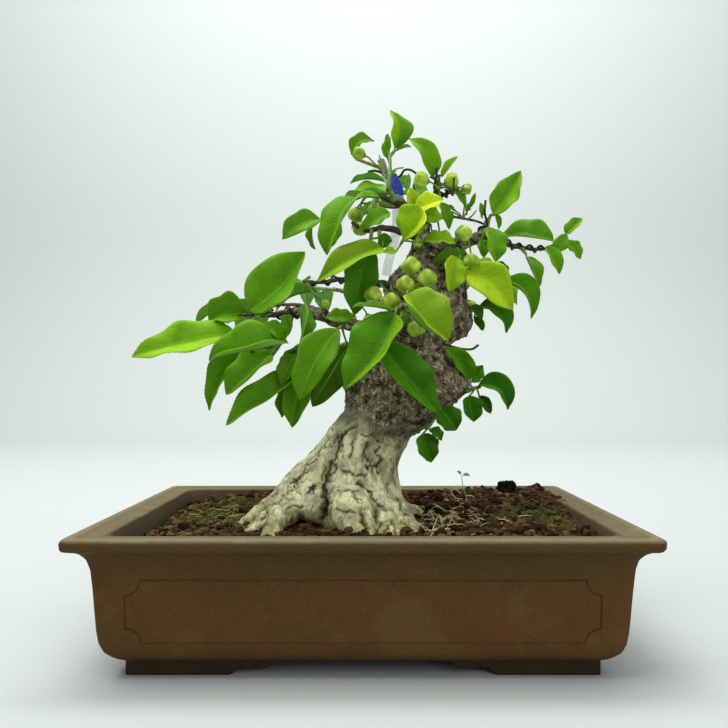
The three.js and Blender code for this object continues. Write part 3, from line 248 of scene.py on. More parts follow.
# Surface roots, from inside the flare to their ends in the soil
ROOTS = [
  { "points": [[-38, -6, 64], [-49, -9, 58], [-58, -12, 53], [-66, -15, 46]], "radii": [9, 6, 3.6, 2] },
  { "points": [[-36, -22, 63], [-40, -33, 58.5], [-42, -42, 53], [-44, -49, 46]], "radii": [8, 5.4, 4, 3] },
  { "points": [[-40, -18, 60], [-48, -27, 56], [-54, -33, 51.5], [-59, -38, 46]], "radii": [6, 4.2, 3, 2] },
  { "points": [[-9, -20, 67], [-5, -32, 60], [-1, -41, 53], [2, -50, 45]], "radii": [12, 10.5, 8, 5] },
  { "points": [[5, -18, 65], [9, -31, 58], [12, -43, 52.5], [14, -55, 46]], "radii": [10, 7.4, 5.6, 4] },
  { "points": [[10, -12, 65], [17, -24, 58], [22, -38, 52.5], [27, -51, 46]], "radii": [9, 6.8, 5, 3.2] },
  { "points": [[11, 0, 62], [21, 1, 57], [30, 2, 52], [37, 3, 45]], "radii": [8, 5.6, 4, 2.4] },
  { "points": [[8, 12, 60], [19, 24, 55], [29, 34, 50], [35, 40, 45]], "radii": [9, 6, 4, 2.4] },
  { "points": [[-12, 16, 62], [-14, 30, 56], [-17, 42, 51], [-18, 48, 45]], "radii": [9, 6.5, 4, 2.6] },
  { "points": [[-32, 10, 62], [-44, 20, 56], [-54, 28, 51], [-60, 33, 45]], "radii": [9, 6, 4, 2.4] },
]

# Limbs and twigs
LIMBS = {
  "left": {
    "points": [[18, 150, -6], [0, 151, -8], [-12, 153, -10], [-22, 157, -12], [-33, 158.5, -13], [-50, 156.5, -14]],
    "radii": [3.8, 3.2, 3, 2.8, 2.3, 1.1], "sides": 6, "steps": 6,
  },
  "left_middle": {
    "points": [[18, 171, -6], [8, 173, -10], [-2, 174, -12], [-12, 175, -13], [-22, 173.5, -14], [-31, 174, -15]],
    "radii": [2.4, 1.8, 1.4, 1.2, 1, 0.8], "sides": 4, "steps": 5,
  },
  "upper_left": {
    "points": [[30, 195, 0], [20, 199, -4], [10, 201, -7], [0, 200, -9], [-6, 204, -11]],
    "radii": [2.8, 2, 1.6, 1.2, 0.9], "sides": 4, "steps": 5,
  },
  "top_left": {
    "points": [[30, 197, 0], [25, 206, -1], [18, 213, -2], [8, 217, -4], [-2, 217, -6], [-10, 213, -8]],
    "radii": [3, 2.3, 1.9, 1.4, 1.1, 0.8], "sides": 4, "steps": 5,
  },
  "leader": {
    "points": [[23, 208, -1], [18, 216, -1], [13, 223, -2], [10.3, 230, -2], [8.5, 236, -2]],
    "radii": [2.2, 2.1, 2, 2, 2], "sides": 5, "steps": 4,
  },
  "upper_middle": {
    "points": [[31, 196, 0], [32, 205, -2], [34, 213, -4], [36.5, 220, -5], [37.5, 225, -6]],
    "radii": [2.6, 1.9, 1.5, 1.2, 1], "sides": 4, "steps": 4,
  },
  "upper_right": {
    "points": [[34, 212, -4], [39, 217, -5], [45, 219.5, -6], [50, 219.5, -6]],
    "radii": [1.3, 1.1, 1, 0.8], "sides": 4, "steps": 3,
  },
  "right": {
    "points": [[33, 182, 0], [40, 189.5, -1], [48, 192.5, -2], [56, 195.5, -2], [61, 200, -2], [62.5, 205, -2]],
    "radii": [6.5, 5.2, 4.4, 3.2, 2.2, 1.4], "sides": 7, "steps": 6,
  },
  "right_branch": {
    "points": [[55, 196, -2], [64, 196, -1], [71, 193.5, 0], [80, 191, 1], [92, 190.5, 2], [97, 192, 2]],
    "radii": [2.2, 1.6, 1.3, 1.1, 0.9, 0.7], "sides": 4, "steps": 5,
  },
  "right_side": {
    "points": [[46, 173, -2], [54, 176, -3], [61, 178.5, -4], [67, 178, -5]],
    "radii": [2.4, 1.5, 1.1, 0.8], "sides": 4, "steps": 3,
  },
  "front": {
    "points": [[30, 162, -8], [26, 163, -20], [21, 163, -28], [18, 160, -32]],
    "radii": [4, 2.8, 2, 1.3], "sides": 5, "steps": 3,
  },
  "burl_twig": {
    "points": [[40, 113, -8], [49, 117, -12], [54, 119, -14]],
    "radii": [2.2, 1.4, 0.9], "sides": 4, "steps": 2,
  },
  "burl_low": {
    "points": [[28, 106, -14], [30, 102, -24], [31, 100, -30]],
    "radii": [2.2, 1.4, 0.9], "sides": 4, "steps": 2,
  },
  "left_back": {
    "points": [[-12, 153, -9], [-22, 159, 6], [-34, 162, 20], [-46, 162, 30]],
    "radii": [2, 1.5, 1.1, 0.8], "sides": 4, "steps": 4,
  },
  "back_left": {
    "points": [[20, 160, 6], [10, 164, 24], [-4, 168, 38], [-16, 170, 48]],
    "radii": [4, 2.6, 1.8, 1], "sides": 5, "steps": 4,
  },
  "back_right": {
    "points": [[44, 165, 6], [50, 170, 22], [54, 174, 36], [57, 176, 46]],
    "radii": [4, 2.4, 1.7, 1], "sides": 5, "steps": 4,
  },
  "back_up": {
    "points": [[31, 188, 2], [29, 198, 14], [25, 206, 26], [20, 211, 36]],
    "radii": [3.4, 2.3, 1.6, 0.9], "sides": 5, "steps": 4,
  },
  "back_low": {
    "points": [[10, 138, 14], [0, 142, 28], [-12, 142, 40]],
    "radii": [3, 1.9, 1], "sides": 4, "steps": 3,
  },
}

# Leafy shoots. Each leaf: share of the stem where it grows, blade base and tip, width, where its upper face looks
# (degrees round, degrees up), arch and fold
SHOOTS = [
  {
    "name": "shoot_left_end", "finish": "leaf_mid", "stem": [[-47, 157.5, -13], [-55, 157.5, -14], [-62, 153, -15]],
    "leaves": [
      [1, -65, 148, -15, -118, 136.3, -18, 19, -5, 20, 0.07, 8],
      [0.6, -59, 155.5, -12, -79.5, 154, -8, 15, 0, 35, 0.08, 26],
      [0.5, -58, 159, -18, -29, 188.5, -25, 27, -8, 12, -0.05, 12],
    ],
  },
  {
    "name": "shoot_left_low", "finish": "leaf_mid",
    "stem": [[-36, 158, -13], [-38, 150, -17], [-41, 144, -20], [-45, 139, -21]],
    "leaves": [
      [0.6, -39, 143.5, -24, -79, 135.5, -30, 19, -5, 24, 0.14, 20],
      [0.7, -42, 143, -14, -54, 132, -12, 12, -20, 30, 0.05, 15],
      [0.35, -40, 146, -24, -50, 153, -28, 9, 0, 30, 0.05, 15],
      [0.15, -40, 157, -20, -38, 147, -25, 6, 10, 10, 0.05, 20],
      [1, -47, 137.5, -21, -70.5, 117.5, -25, 18, -15, 12, 0.08, 14],
      [0.95, -53, 139, -15, -79.5, 109.5, -16, 12, -45, 15, 0.1, 28],
    ],
  },
  {
    "name": "shoot_left_hanging", "finish": "leaf_mid",
    "stem": [[-30.6, 157.2, -12.4], [-30.2, 150, -18], [-32, 142, -22], [-34, 135, -22]],
    "leaves": [
      [0.1, -31.5, 161, -18, -31, 143, -26, 10, 40, 5, 0.08, 32],
      [1, -34, 127, -21, -70.5, 102, -25, 16, -15, 14, 0.05, 14],
      [0.8, -29, 131, -18, -36.6, 100, -19, 13, -10, 5, 0.03, 18],
      [0.95, -36, 124, -15, -41.8, 105, -14, 8, -20, 5, 0.03, 18],
      [0.9, -35, 137, -26, -42, 122, -29, 10, -10, 15, 0.06, 18],
    ],
  },
  {
    "name": "shoot_left_inner", "finish": "leaf_mid", "stem": [[-10, 151, -10], [-11, 151, -20], [-12, 151, -26]],
    "leaves": [
      [1, -13, 150, -28, -33, 114, -33, 17, -20, 15, 0.04, 15],
      [0.6, -8, 141, -16, -26.3, 110.5, -18, 18, -10, 0, 0.03, 12],
      [0.5, -6, 156, -22, -19.5, 156, -24, 8, -10, 20, 0.04, 15],
    ],
  },
  {
    "name": "shoot_front", "finish": "leaf_dark", "stem": [[19, 161, -30], [16.5, 160, -35], [16, 158, -37]],
    "leaves": [
      [1, 15.8, 157.5, -38, -9.6, 120, -45, 22, -12, 5, 0.04, 14],
      [0.8, 14, 160, -38, -6, 161.5, -41, 8, 0, 82, 0.05, 20],
      [0.6, 9, 142, -35, 38, 107.5, -38, 19, 8, 12, 0.05, 14],
    ],
  },
  {
    "name": "shoot_front_bright", "finish": "leaf_young", "stem": [[27, 168, -14], [24, 169, -26], [22, 169, -36]],
    "leaves": [
      [1, 22, 167.5, -38, 43, 144.5, -41, 22, 12, 10, 0.05, 16],
    ],
  },
  {
    "name": "shoot_right_young", "finish": "leaf_young", "stem": [[47, 191, -4], [48.5, 187, -13], [50, 182, -15]],
    "leaves": [
      [0.6, 47.5, 186, -18, 43.5, 169, -21, 12, 5, 0, 0.05, 10],
      [1, 52, 180.5, -17, 75.5, 159.5, -21, 17, 10, 22, 0.06, 10],
      [0.9, 58, 184.5, -12, 66, 180, -13, 7, 10, 40, 0.05, 20],
    ],
  },
  {
    "name": "shoot_right_side", "finish": "leaf_dark", "stem": [[64, 178.5, -5], [68, 177.5, -6], [71, 176, -7]],
    "leaves": [
      [1, 71, 174.5, -7, 85.5, 156, -11, 10, 40, 30, 0.18, 26],
      [0.5, 68, 174, -2, 71.6, 157, -1, 7, 20, 5, 0.05, 22],
    ],
  },
  {
    "name": "shoot_right_low", "finish": "leaf_dark", "stem": [[50, 162, -3], [54, 161, -5], [57, 160, -6]],
    "leaves": [
      [0.8, 58, 161, -6, 72.5, 148.5, -8, 9, 20, 45, 0.22, 24],
      [0.6, 55, 162, -9, 60, 155, -11, 6, 10, 20, 0.05, 20],
    ],
  },
  {
    "name": "shoot_burl_right", "finish": "leaf_dark", "stem": [[52, 118.5, -14], [56, 120, -15], [59, 120.5, -16]],
    "leaves": [
      [1, 58, 121.5, -17, 73.5, 110, -20, 9, 10, 50, 0.24, 22],
      [0.55, 53.5, 116, -17, 56, 103, -18, 11, 5, 5, 0.05, 14],
      [0.7, 58.5, 116, -13, 64.5, 107, -12, 6, 20, 5, 0.05, 20],
      [0.4, 53.5, 123, -14, 60.5, 131.5, -15, 8, 15, 10, -0.08, 25],
    ],
  },
  {
    "name": "shoot_burl_low", "finish": "leaf_dark", "stem": [[31, 100.5, -28.5], [32, 99.7, -33], [33, 100, -35.4]],
    "leaves": [
      [0.6, 30, 97, -34, 34.5, 82.5, -35, 11, 5, 5, 0.05, 12],
      [1, 39, 109.5, -34, 47, 98.6, -33, 13, 10, 10, 0.05, 16],
    ],
  },
  {
    "name": "shoot_leader", "finish": "leaf_mid", "stem": [[15, 215, -8], [12.8, 222, -12], [13.3, 230, -10], [13.2, 238, -6]],
    "leaves": [
      [1, 16, 241.5, -6, 13, 260.6, -8, 12, 42, 8, 0.22, 10],
      [0.95, 16.5, 241, -8, 24, 242.5, -10, 4, 10, 50, 0.05, 20],
      [0.9, 12.6, 240, -4, 12, 249, -3, 4, -20, 5, 0.05, 20],
    ],
  },
  {
    "name": "shoot_leader_left", "finish": "leaf_mid", "stem": [[10.2, 231, -1.5], [3, 233.5, 0], [-4, 236, 0]],
    "leaves": [
      [1, -6.5, 239, -1, 4.5, 246.5, -2, 6, -30, 30, 0.2, 6],
    ],
  },
  {
    "name": "shoot_top_middle", "finish": "leaf_mid", "stem": [[37, 222.5, -6], [38, 226, -9], [38, 228, -10]],
    "leaves": [
      [0.6, 35, 227, -9, 23.2, 246.9, -10, 9.5, 18, 26, 0.19, 10],
      [1, 39.5, 227.5, -10, 47.4, 237.5, -11, 5, -10, 20, 0.06, 22],
      [0.3, 43.5, 221.5, -10, 52, 211.5, -11, 5, 15, 30, 0.1, 22],
      [0.3, 39, 214, -12, 43.5, 200.5, -13, 7, 25, 10, 0.05, 18],
    ],
  },
  {
    "name": "shoot_top_left", "finish": "leaf_mid", "stem": [[-8, 214, -8], [-12, 213, -11], [-17, 209, -12]],
    "leaves": [
      [0.15, -4, 216.5, -14, -19.5, 188, -18, 18, -25, 14, 0.14, 12],
      [1, -22, 205.5, -12, -41.5, 196, -14, 11, -15, 24, 0.12, 8],
      [0.8, -12, 203, -8, -18, 190.5, -8, 9, -20, 5, 0.05, 20],
      [0.9, -27, 203, -9, -25, 190, -7, 6, -60, 5, 0.05, 20],
    ],
  },
  {
    "name": "shoot_upper_left", "finish": "leaf_mid", "stem": [[6, 217, -5], [5, 214, -10], [6, 211, -14]],
    "leaves": [
      [0.6, 8, 216.5, -13, -5, 216, -18, 7, 0, 55, 0.06, 20],
      [1, 13, 209, -16, -1, 200.5, -18, 10, -10, 25, 0.06, 18],
    ],
  },
  {
    "name": "shoot_middle_young", "finish": "leaf_young", "stem": [[24, 197, -7], [20, 195, -11], [18.7, 193, -13]],
    "leaves": [
      [1, 19.3, 194, -15, 27.8, 212.6, -22, 16.5, -5, 5, 0.04, 14],
      [0.55, 31, 194.5, -13, 46.5, 194, -16, 10, 5, 25, 0.1, 12],
    ],
  },
  {
    "name": "shoot_middle_right", "finish": "leaf_young", "stem": [[33, 209, -3], [30.5, 209, -10], [28, 209.5, -15]],
    "leaves": [
      [1, 26, 210.5, -17, 40, 216, -20, 11, 5, 20, 0.06, 12],
      [0.8, 30.5, 207, -15, 40, 206, -17, 9, 5, 15, 0.05, 14],
    ],
  },
  {
    "name": "shoot_left_middle", "finish": "leaf_young", "stem": [[8, 200.5, -7], [8, 196, -13], [9.5, 193, -17]],
    "leaves": [
      [1, 9.5, 191, -19, -23.5, 174.5, -28, 15, -10, 16, 0.14, 10],
    ],
  },
  {
    "name": "shoot_left_dark", "finish": "leaf_dark", "stem": [[4, 200, -9], [3.5, 196, -12], [3, 193, -13]],
    "leaves": [
      [1, 2.5, 190.5, -14, -5, 157, -17, 17, -8, 4, 0.03, 12],
      [0.55, 12.5, 197.5, -15, 7.5, 190.5, -16, 7, 10, 10, 0.05, 20],
    ],
  },
  {
    "name": "shoot_right_top", "finish": "leaf_mid", "stem": [[62.3, 202, -2], [63.5, 206, -4], [64.5, 208, -5]],
    "leaves": [
      [1, 65.5, 208, -6, 79.5, 230.5, -8, 14, -5, 12, -0.1, 16],
      [0.85, 67, 208, -3, 68.5, 200.5, -1, 4, 30, 5, 0.05, 20],
    ],
  },
  {
    "name": "shoot_limb_under", "finish": "leaf_mid", "stem": [[58.5, 197.5, -3], [60.5, 198.5, -8], [64, 201, -9]],
    "leaves": [
      [1, 66, 200.5, -9, 67, 184, -11, 12, 5, 5, 0.05, 12],
      [0.6, 59.5, 195, -9, 61, 186, -10, 6, 5, 5, 0.05, 20],
    ],
  },
  {
    "name": "shoot_right_end", "finish": "leaf_mid", "stem": [[95.5, 191.5, 2], [98, 194, 1], [100, 196, 0]],
    "leaves": [
      [0.5, 96, 195, 4, 68.5, 197, 9, 16, 5, 24, 0.14, 14],
      [0.6, 97, 189.5, -4, 103, 198, -5, 8, 5, 5, 0.03, 12],
      [0.5, 92.5, 191.5, -5, 99.5, 178, -6, 9, 10, 10, 0.06, 18],
      [1, 102, 198, 0, 110.5, 206, 0, 7, -5, 25, 0.08, 18],
      [1, 102.5, 194.5, 1, 110, 185.5, 1, 8, 25, 10, 0.06, 18],
    ],
  },
  {
    "name": "shoot_right_under", "finish": "leaf_mid", "stem": [[79.5, 191, 1], [81, 189.5, -4], [82, 188, -5]],
    "leaves": [
      [1, 82.5, 186.5, -6, 88.5, 170.5, -8, 8, 15, 15, 0.14, 20],
    ],
  },
]

# Shoots on the far side, grown by one rule
RULED_SHOOTS = [
  {
    "name": "shoot_back_left", "finish": "leaf_mid", "limb": "back_left", "heading": [-0.7, 0.6, 0.15],
    "reach": 28, "pairs": 3, "leaf": 32, "seed": 11,
  },
  {
    "name": "shoot_back_right", "finish": "leaf_dark", "limb": "back_right", "heading": [0.15, 0.9, 0.15],
    "reach": 24, "pairs": 3, "leaf": 31, "seed": 23,
  },
  {
    "name": "shoot_back_up", "finish": "leaf_mid", "limb": "back_up", "heading": [-0.2, 0.7, 0.6],
    "reach": 28, "pairs": 3, "leaf": 33, "seed": 37,
  },
  {
    "name": "shoot_back_low", "finish": "leaf_dark", "limb": "back_low", "heading": [-0.6, 0.7, -0.1],
    "reach": 22, "pairs": 3, "leaf": 30, "seed": 41,
  },
  {
    "name": "shoot_left_back", "finish": "leaf_dark", "limb": "left_back", "heading": [-0.8, 0.5, -0.1],
    "reach": 26, "pairs": 3, "leaf": 34, "seed": 53,
  },
]

# Fruit bunches: root and fork of the stalk, then the middle and diameter of each fruit
BUNCHES = [
  {
    "name": "fruit_centre", "root": [26, 188, -8], "fork": [26.5, 185, -18],
    "fruits": [[23.8, 181.8, -25, 9.7], [32, 175.6, -25, 10], [20.8, 172.6, -29, 9], [28.4, 169.6, -19, 8]],
  },
  {
    "name": "fruit_front", "root": [21, 163, -27], "fork": [23, 156.5, -30],
    "fruits": [[26.5, 150, -32, 9], [16.8, 153, -29, 6], [22.2, 157, -26, 9.5], [11, 145.5, -34, 6.5]],
  },
  {
    "name": "fruit_left", "root": [8, 173, -10], "fork": [9.5, 171.5, -18],
    "fruits": [[4.6, 167.2, -24, 9], [14, 163.8, -25, 9.5]],
  },
  {
    "name": "fruit_limb", "root": [53, 194.3, -4], "fork": [53.2, 192.6, -12.5],
    "fruits": [[50.4, 198.4, -16, 9], [54.5, 184.5, -20, 8]],
  },
  {
    "name": "fruit_upper", "root": [32.5, 203, -2], "fork": [31, 199.5, -8],
    "fruits": [[27, 202, -13, 8.5], [27.5, 193.3, -10, 5.5]],
  },
  {
    "name": "fruit_top", "root": [37, 221, -5], "fork": [38, 221, -12],
    "fruits": [[28.8, 225.4, -13, 9], [44.7, 225.2, -15, 8], [52.4, 220.8, -13, 5.5]],
  },
  { "name": "fruit_tip", "root": [10.5, 229, -2], "fork": [6, 233, -6], "fruits": [[-2.7, 238.9, -8, 7.5]] },
  { "name": "fruit_upper_left", "root": [1, 217, -5], "fork": [-1.5, 213.5, -4], "fruits": [[-4.2, 207.6, -3, 8.5], [-1.6, 200.5, -7, 8], [5, 210.8, -5, 7]] },
  {
    "name": "fruit_left_branch", "root": [-29, 174, -14.5], "fork": [-26, 168, -17],
    "fruits": [[-19.5, 162.5, -17, 5]],
  },
  {
    "name": "fruit_back", "root": [52, 172, 29], "fork": [50, 167, 33],
    "fruits": [[54, 161, 33, 8.5], [45, 160, 38, 8.5]],
  },
  {
    "name": "fruit_back_left", "root": [2, 166, 32], "fork": [-1, 161, 36],
    "fruits": [[3, 154, 36, 8.5], [-7, 155, 42, 8]],
  },
]

# Training wires
WIRES = [
  { "name": "wire_left", "limb": "left", "from": 0.55, "to": 0.93, "turns": 3, "start": 90, "end": [] },
  { "name": "wire_left_middle", "limb": "left_middle", "from": 0.5, "to": 0.92, "turns": 3, "start": 60, "end": [] },
  {
    "name": "wire_leader", "limb": "leader", "from": 0.4, "to": 0.62, "turns": 1.5, "start": 0,
    "end": [[18.5, 227.5, -4], [20.5, 230.3, -6], [23.5, 230.5, -7], [26.6, 228.6, -8]],
  },
  {
    "name": "wire_upper_middle", "limb": "upper_middle", "from": 0.45, "to": 0.86, "turns": 2, "start": 300,
    "end": [[36.6, 227, -9], [37.3, 231, -8]],
  },
  {
    "name": "wire_upper_right", "limb": "upper_right", "from": 0.42, "to": 0.8, "turns": 2, "start": 270,
    "end": [[45.5, 223, -9.5], [45.5, 226.5, -9]],
  },
  {
    "name": "wire_limb_end", "limb": "right", "from": 0.5, "to": 0.92, "turns": 1.5, "start": 180,
    "end": [[61.2, 209, -6], [61.6, 215, -5]],
  },
  { "name": "wire_right", "limb": "right_branch", "from": 0.4, "to": 0.86, "turns": 3.5, "start": 120, "end": [] },
  {
    "name": "wire_burl", "limb": None,
    "end": [[40, 142.6, -23], [44, 141.2, -20], [50, 139.8, -15], [55, 139.8, -12], [58, 141.8, -11]],
  },
]


# The tree was measured from one standing point. A place written as [x, z, depth] says where it is seen against the
# upright plane through the middle of the pot, and how far behind that plane it really lies. All in millimetres.
EYE = Vector((1.8, -400.8, 117.5))


def seen(place):
    x, z, depth = place
    stretch = (depth - EYE.y) / -EYE.y
    return Vector((EYE.x + (x - EYE.x) * stretch, depth, EYE.z + (z - EYE.z) * stretch))


def mix(a, b, share):
    return a + (b - a) * share


def smooth(value, low, high):
    share = min(max((value - low) / (high - low), 0), 1)
    return share * share * (3 - 2 * share)


def draws(seed):
    """Draws between 0 and 1 that are the same each time."""
    state = seed

    def draw(low=0.0, high=1.0):
        nonlocal state
        state = state * 16807 % 2147483647
        return low + (high - low) * state / 2147483647

    return draw


class Path:
    """A smooth line through points."""

    FINE = 200

    def __init__(self, points):
        self.points = [Vector(p) for p in points]
        self.fine = [self.at(i / self.FINE) for i in range(self.FINE + 1)]
        self.lengths = [0.0]
        for a, b in zip(self.fine, self.fine[1:]):
            self.lengths.append(self.lengths[-1] + (b - a).length)

    def at(self, share):
        """The place at a share of the points."""
        points = self.points
        last = len(points) - 1
        spot = last * min(max(share, 0), 1)
        first = min(int(spot), last - 1)
        weight = spot - first
        b, c = points[first], points[first + 1]
        a = points[first - 1] if first > 0 else b * 2 - c
        d = points[first + 2] if first + 2 <= last else c * 2 - b
        ab, bc, cd = [(p - q).length ** 0.5 for p, q in ((a, b), (b, c), (c, d))]
        start = ((b - a) / ab - (c - a) / (ab + bc) + (c - b) / bc) * bc
        end = ((c - b) / bc - (d - b) / (bc + cd) + (d - c) / cd) * bc
        curved = (c - b) * 3 - start * 2 - end
        return b + start * weight + curved * weight**2 + ((b - c) * 2 + start + end) * weight**3

    def share_along(self, share):
        target = share * self.lengths[-1]
        for i, (low, high) in enumerate(zip(self.lengths, self.lengths[1:])):
            if target <= high:
                return (i + (target - low) / max(high - low, 1e-9)) / self.FINE
        return 1.0

    def along(self, share):
        """The place at a share of the length."""
        return self.at(self.share_along(share))

    def heading(self, share):
        spot = self.share_along(share)
        return (self.at(spot + 1e-3) - self.at(spot - 1e-3)).normalized()

    def frames(self, steps):
        """Two directions square to the line at each step, that turn as little as they can."""
        headings = [self.heading(i / steps) for i in range(steps + 1)]
        sizes = [abs(part) for part in headings[0]]
        least = max(i for i in range(3) if sizes[i] <= min(sizes))
        axis = Vector([float(i == least) for i in range(3)])
        normal = headings[0].cross(headings[0].cross(axis).normalized())
        made = []
        for i, heading in enumerate(headings):
            if i:
                turn = headings[i - 1].rotation_difference(heading)
                normal = turn @ normal
            made.append((normal.copy(), heading.cross(normal)))
        return made


def radius_at(radii, share):
    spot = share * (len(radii) - 1)
    first = min(int(spot), len(radii) - 2)
    return mix(radii[first], radii[first + 1], spot - first)


def tube(points, radii, step=1.2, uneven=0.0, draw=None):
    """Fine points along a stem and the radius at each."""
    path = Path(points)
    count = max(3, round(path.lengths[-1] / step))
    places = [path.along(i / count) for i in range(count + 1)]
    sizes = [radius_at(radii, i / count) * (1 + (draw(-uneven, uneven) if draw else 0)) for i in range(count + 1)]
    return places, sizes


# Modelling
def choose(*pieces):
    """Selects these objects alone, the first of them active."""
    if bpy.context.object and bpy.context.object.mode != "OBJECT":
        bpy.ops.object.mode_set(mode="OBJECT")
    bpy.ops.object.select_all(action="DESELECT")
    for piece in pieces:
        piece.select_set(True)
    bpy.context.view_layer.objects.active = pieces[0]


def named(name):
    piece = bpy.context.object
    piece.name = piece.data.name = name
    return piece


def join(name, *pieces):
    choose(*pieces)
    if len(pieces) > 1:
        bpy.ops.object.join()
    return named(name)


def apply_modifier(piece, kind, **settings):
    choose(piece)
    bpy.ops.object.modifier_add(type=kind)
    modifier = piece.modifiers[-1]
    for setting, value in settings.items():
        setattr(modifier, setting, value)
    bpy.ops.object.modifier_apply(modifier=modifier.name)


def cut(piece, tool, operation="DIFFERENCE"):
    apply_modifier(piece, "BOOLEAN", object=tool, operation=operation, solver="EXACT")
    bpy.data.objects.remove(tool)


def edit(piece, *steps):
    """Runs edit-mode operators on everything in the piece."""
    choose(piece)
    bpy.ops.object.mode_set(mode="EDIT")
    bpy.ops.mesh.select_all(action="SELECT")
    for step in steps:
        step()
    bpy.ops.object.mode_set(mode="OBJECT")


def smooth_faces(piece, angle=None):
    choose(piece)
    if angle is None:
        bpy.ops.object.shade_smooth()
    else:
        bpy.ops.object.shade_smooth_by_angle(angle=math.radians(angle))


def places_of(piece):
    places = np.empty(len(piece.data.vertices) * 3)
    piece.data.vertices.foreach_get("co", places)
    return places.reshape(-1, 3)


def move_to(piece, places):
    """Puts every vertex at its new place, given in millimetres."""
    piece.data.vertices.foreach_set("co", (np.asarray(places) * MM).ravel())
    piece.data.update()


def drawn_out(name, segments, rings, place):
    """A sphere drawn out to a closed form: `place` gives the point for a share of a turn and of the way down."""
    bpy.ops.object.select_all(action="DESELECT")
    bpy.ops.mesh.primitive_uv_sphere_add(segments=segments, ring_count=rings, radius=1)
    piece = named(name)
    new = []
    for x, y, z in places_of(piece):
        new.append(place(math.atan2(y, x) / math.tau % 1, math.acos(min(max(z, -1), 1)) / math.pi))
    move_to(piece, new)
    edit(piece, lambda: bpy.ops.mesh.normals_make_consistent(inside=False))
    return piece


def strands(name, tubes, sides=8, capped=True):
    """Round stems in one mesh, each given as its points and the radius at each point, in millimetres."""
    line = bpy.data.curves.new(name, "CURVE")
    line.dimensions = "3D"
    line.bevel_depth = MM
    line.bevel_resolution = max(0, (sides - 4) // 2)
    line.use_fill_caps = capped
    for places, sizes in tubes:
        spline = line.splines.new("POLY")
        spline.points.add(len(places) - 1)
        for spot, place, size in zip(spline.points, places, sizes):
            spot.co = (*(Vector(place) * MM), 1)
            spot.radius = size
    piece = bpy.data.objects.new(name, line)
    bpy.context.collection.objects.link(piece)
    choose(piece)
    bpy.ops.object.convert(target="MESH")
    piece = named(name)
    edit(piece, lambda: bpy.ops.mesh.remove_doubles(threshold=1e-6))
    smooth_faces(piece, 60)
    return piece


def strewn(name, master, turns, middles, sizes):
    """Copies of a small form in one mesh, each turned, sized and placed by arrays."""
    faces = np.array([list(face.vertices) for face in master.data.polygons])
    form = places_of(master)
    count = len(middles)
    places = np.einsum("nij,kj->nki", turns, form) * sizes[:, None, :] + middles[:, None, :]
    copies = faces[None] + (np.arange(count) * len(form))[:, None, None]
    mesh = bpy.data.meshes.new(name)
    mesh.from_pydata((places.reshape(-1, 3) * MM).tolist(), [], copies.reshape(-1, faces.shape[1]).tolist())
    piece = bpy.data.objects.new(name, mesh)
    bpy.context.collection.objects.link(piece)
    bpy.data.objects.remove(master)
    return piece


def keep_value(piece, name, values):
    """Stores one number at each vertex, for the materials."""
    layer = piece.data.attributes.new(name, "FLOAT", "POINT")
    layer.data.foreach_set("value", np.asarray(values, dtype=np.float32))


def finish(piece, slot, *nodes):
    """Hands a piece over: it rides on the part and stands for these nodes. `slot` is not used."""
    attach(piece, BODY)
    if nodes:
        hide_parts(*nodes)


# Materials
class Field:
    """A value that varies over a surface. An expression on it adds Math nodes."""

    def __init__(self, paint, socket):
        self.paint = paint
        self.socket = socket

    def math(self, operation, first, second=None):
        return self.paint.node("ShaderNodeMath", {"operation": operation}, {0: first, 1: second})

    def __add__(self, other):
        return self.math("ADD", self, other)

    def __sub__(self, other):
        return self.math("SUBTRACT", self, other)

    def __mul__(self, other):
        return self.math("MULTIPLY", self, other)

    def __truediv__(self, other):
        return self.math("DIVIDE", self, other)

    def __pow__(self, other):
        return self.math("POWER", self, other)

    def __rsub__(self, other):
        return self.math("SUBTRACT", other, self)

    __radd__ = __add__
    __rmul__ = __mul__


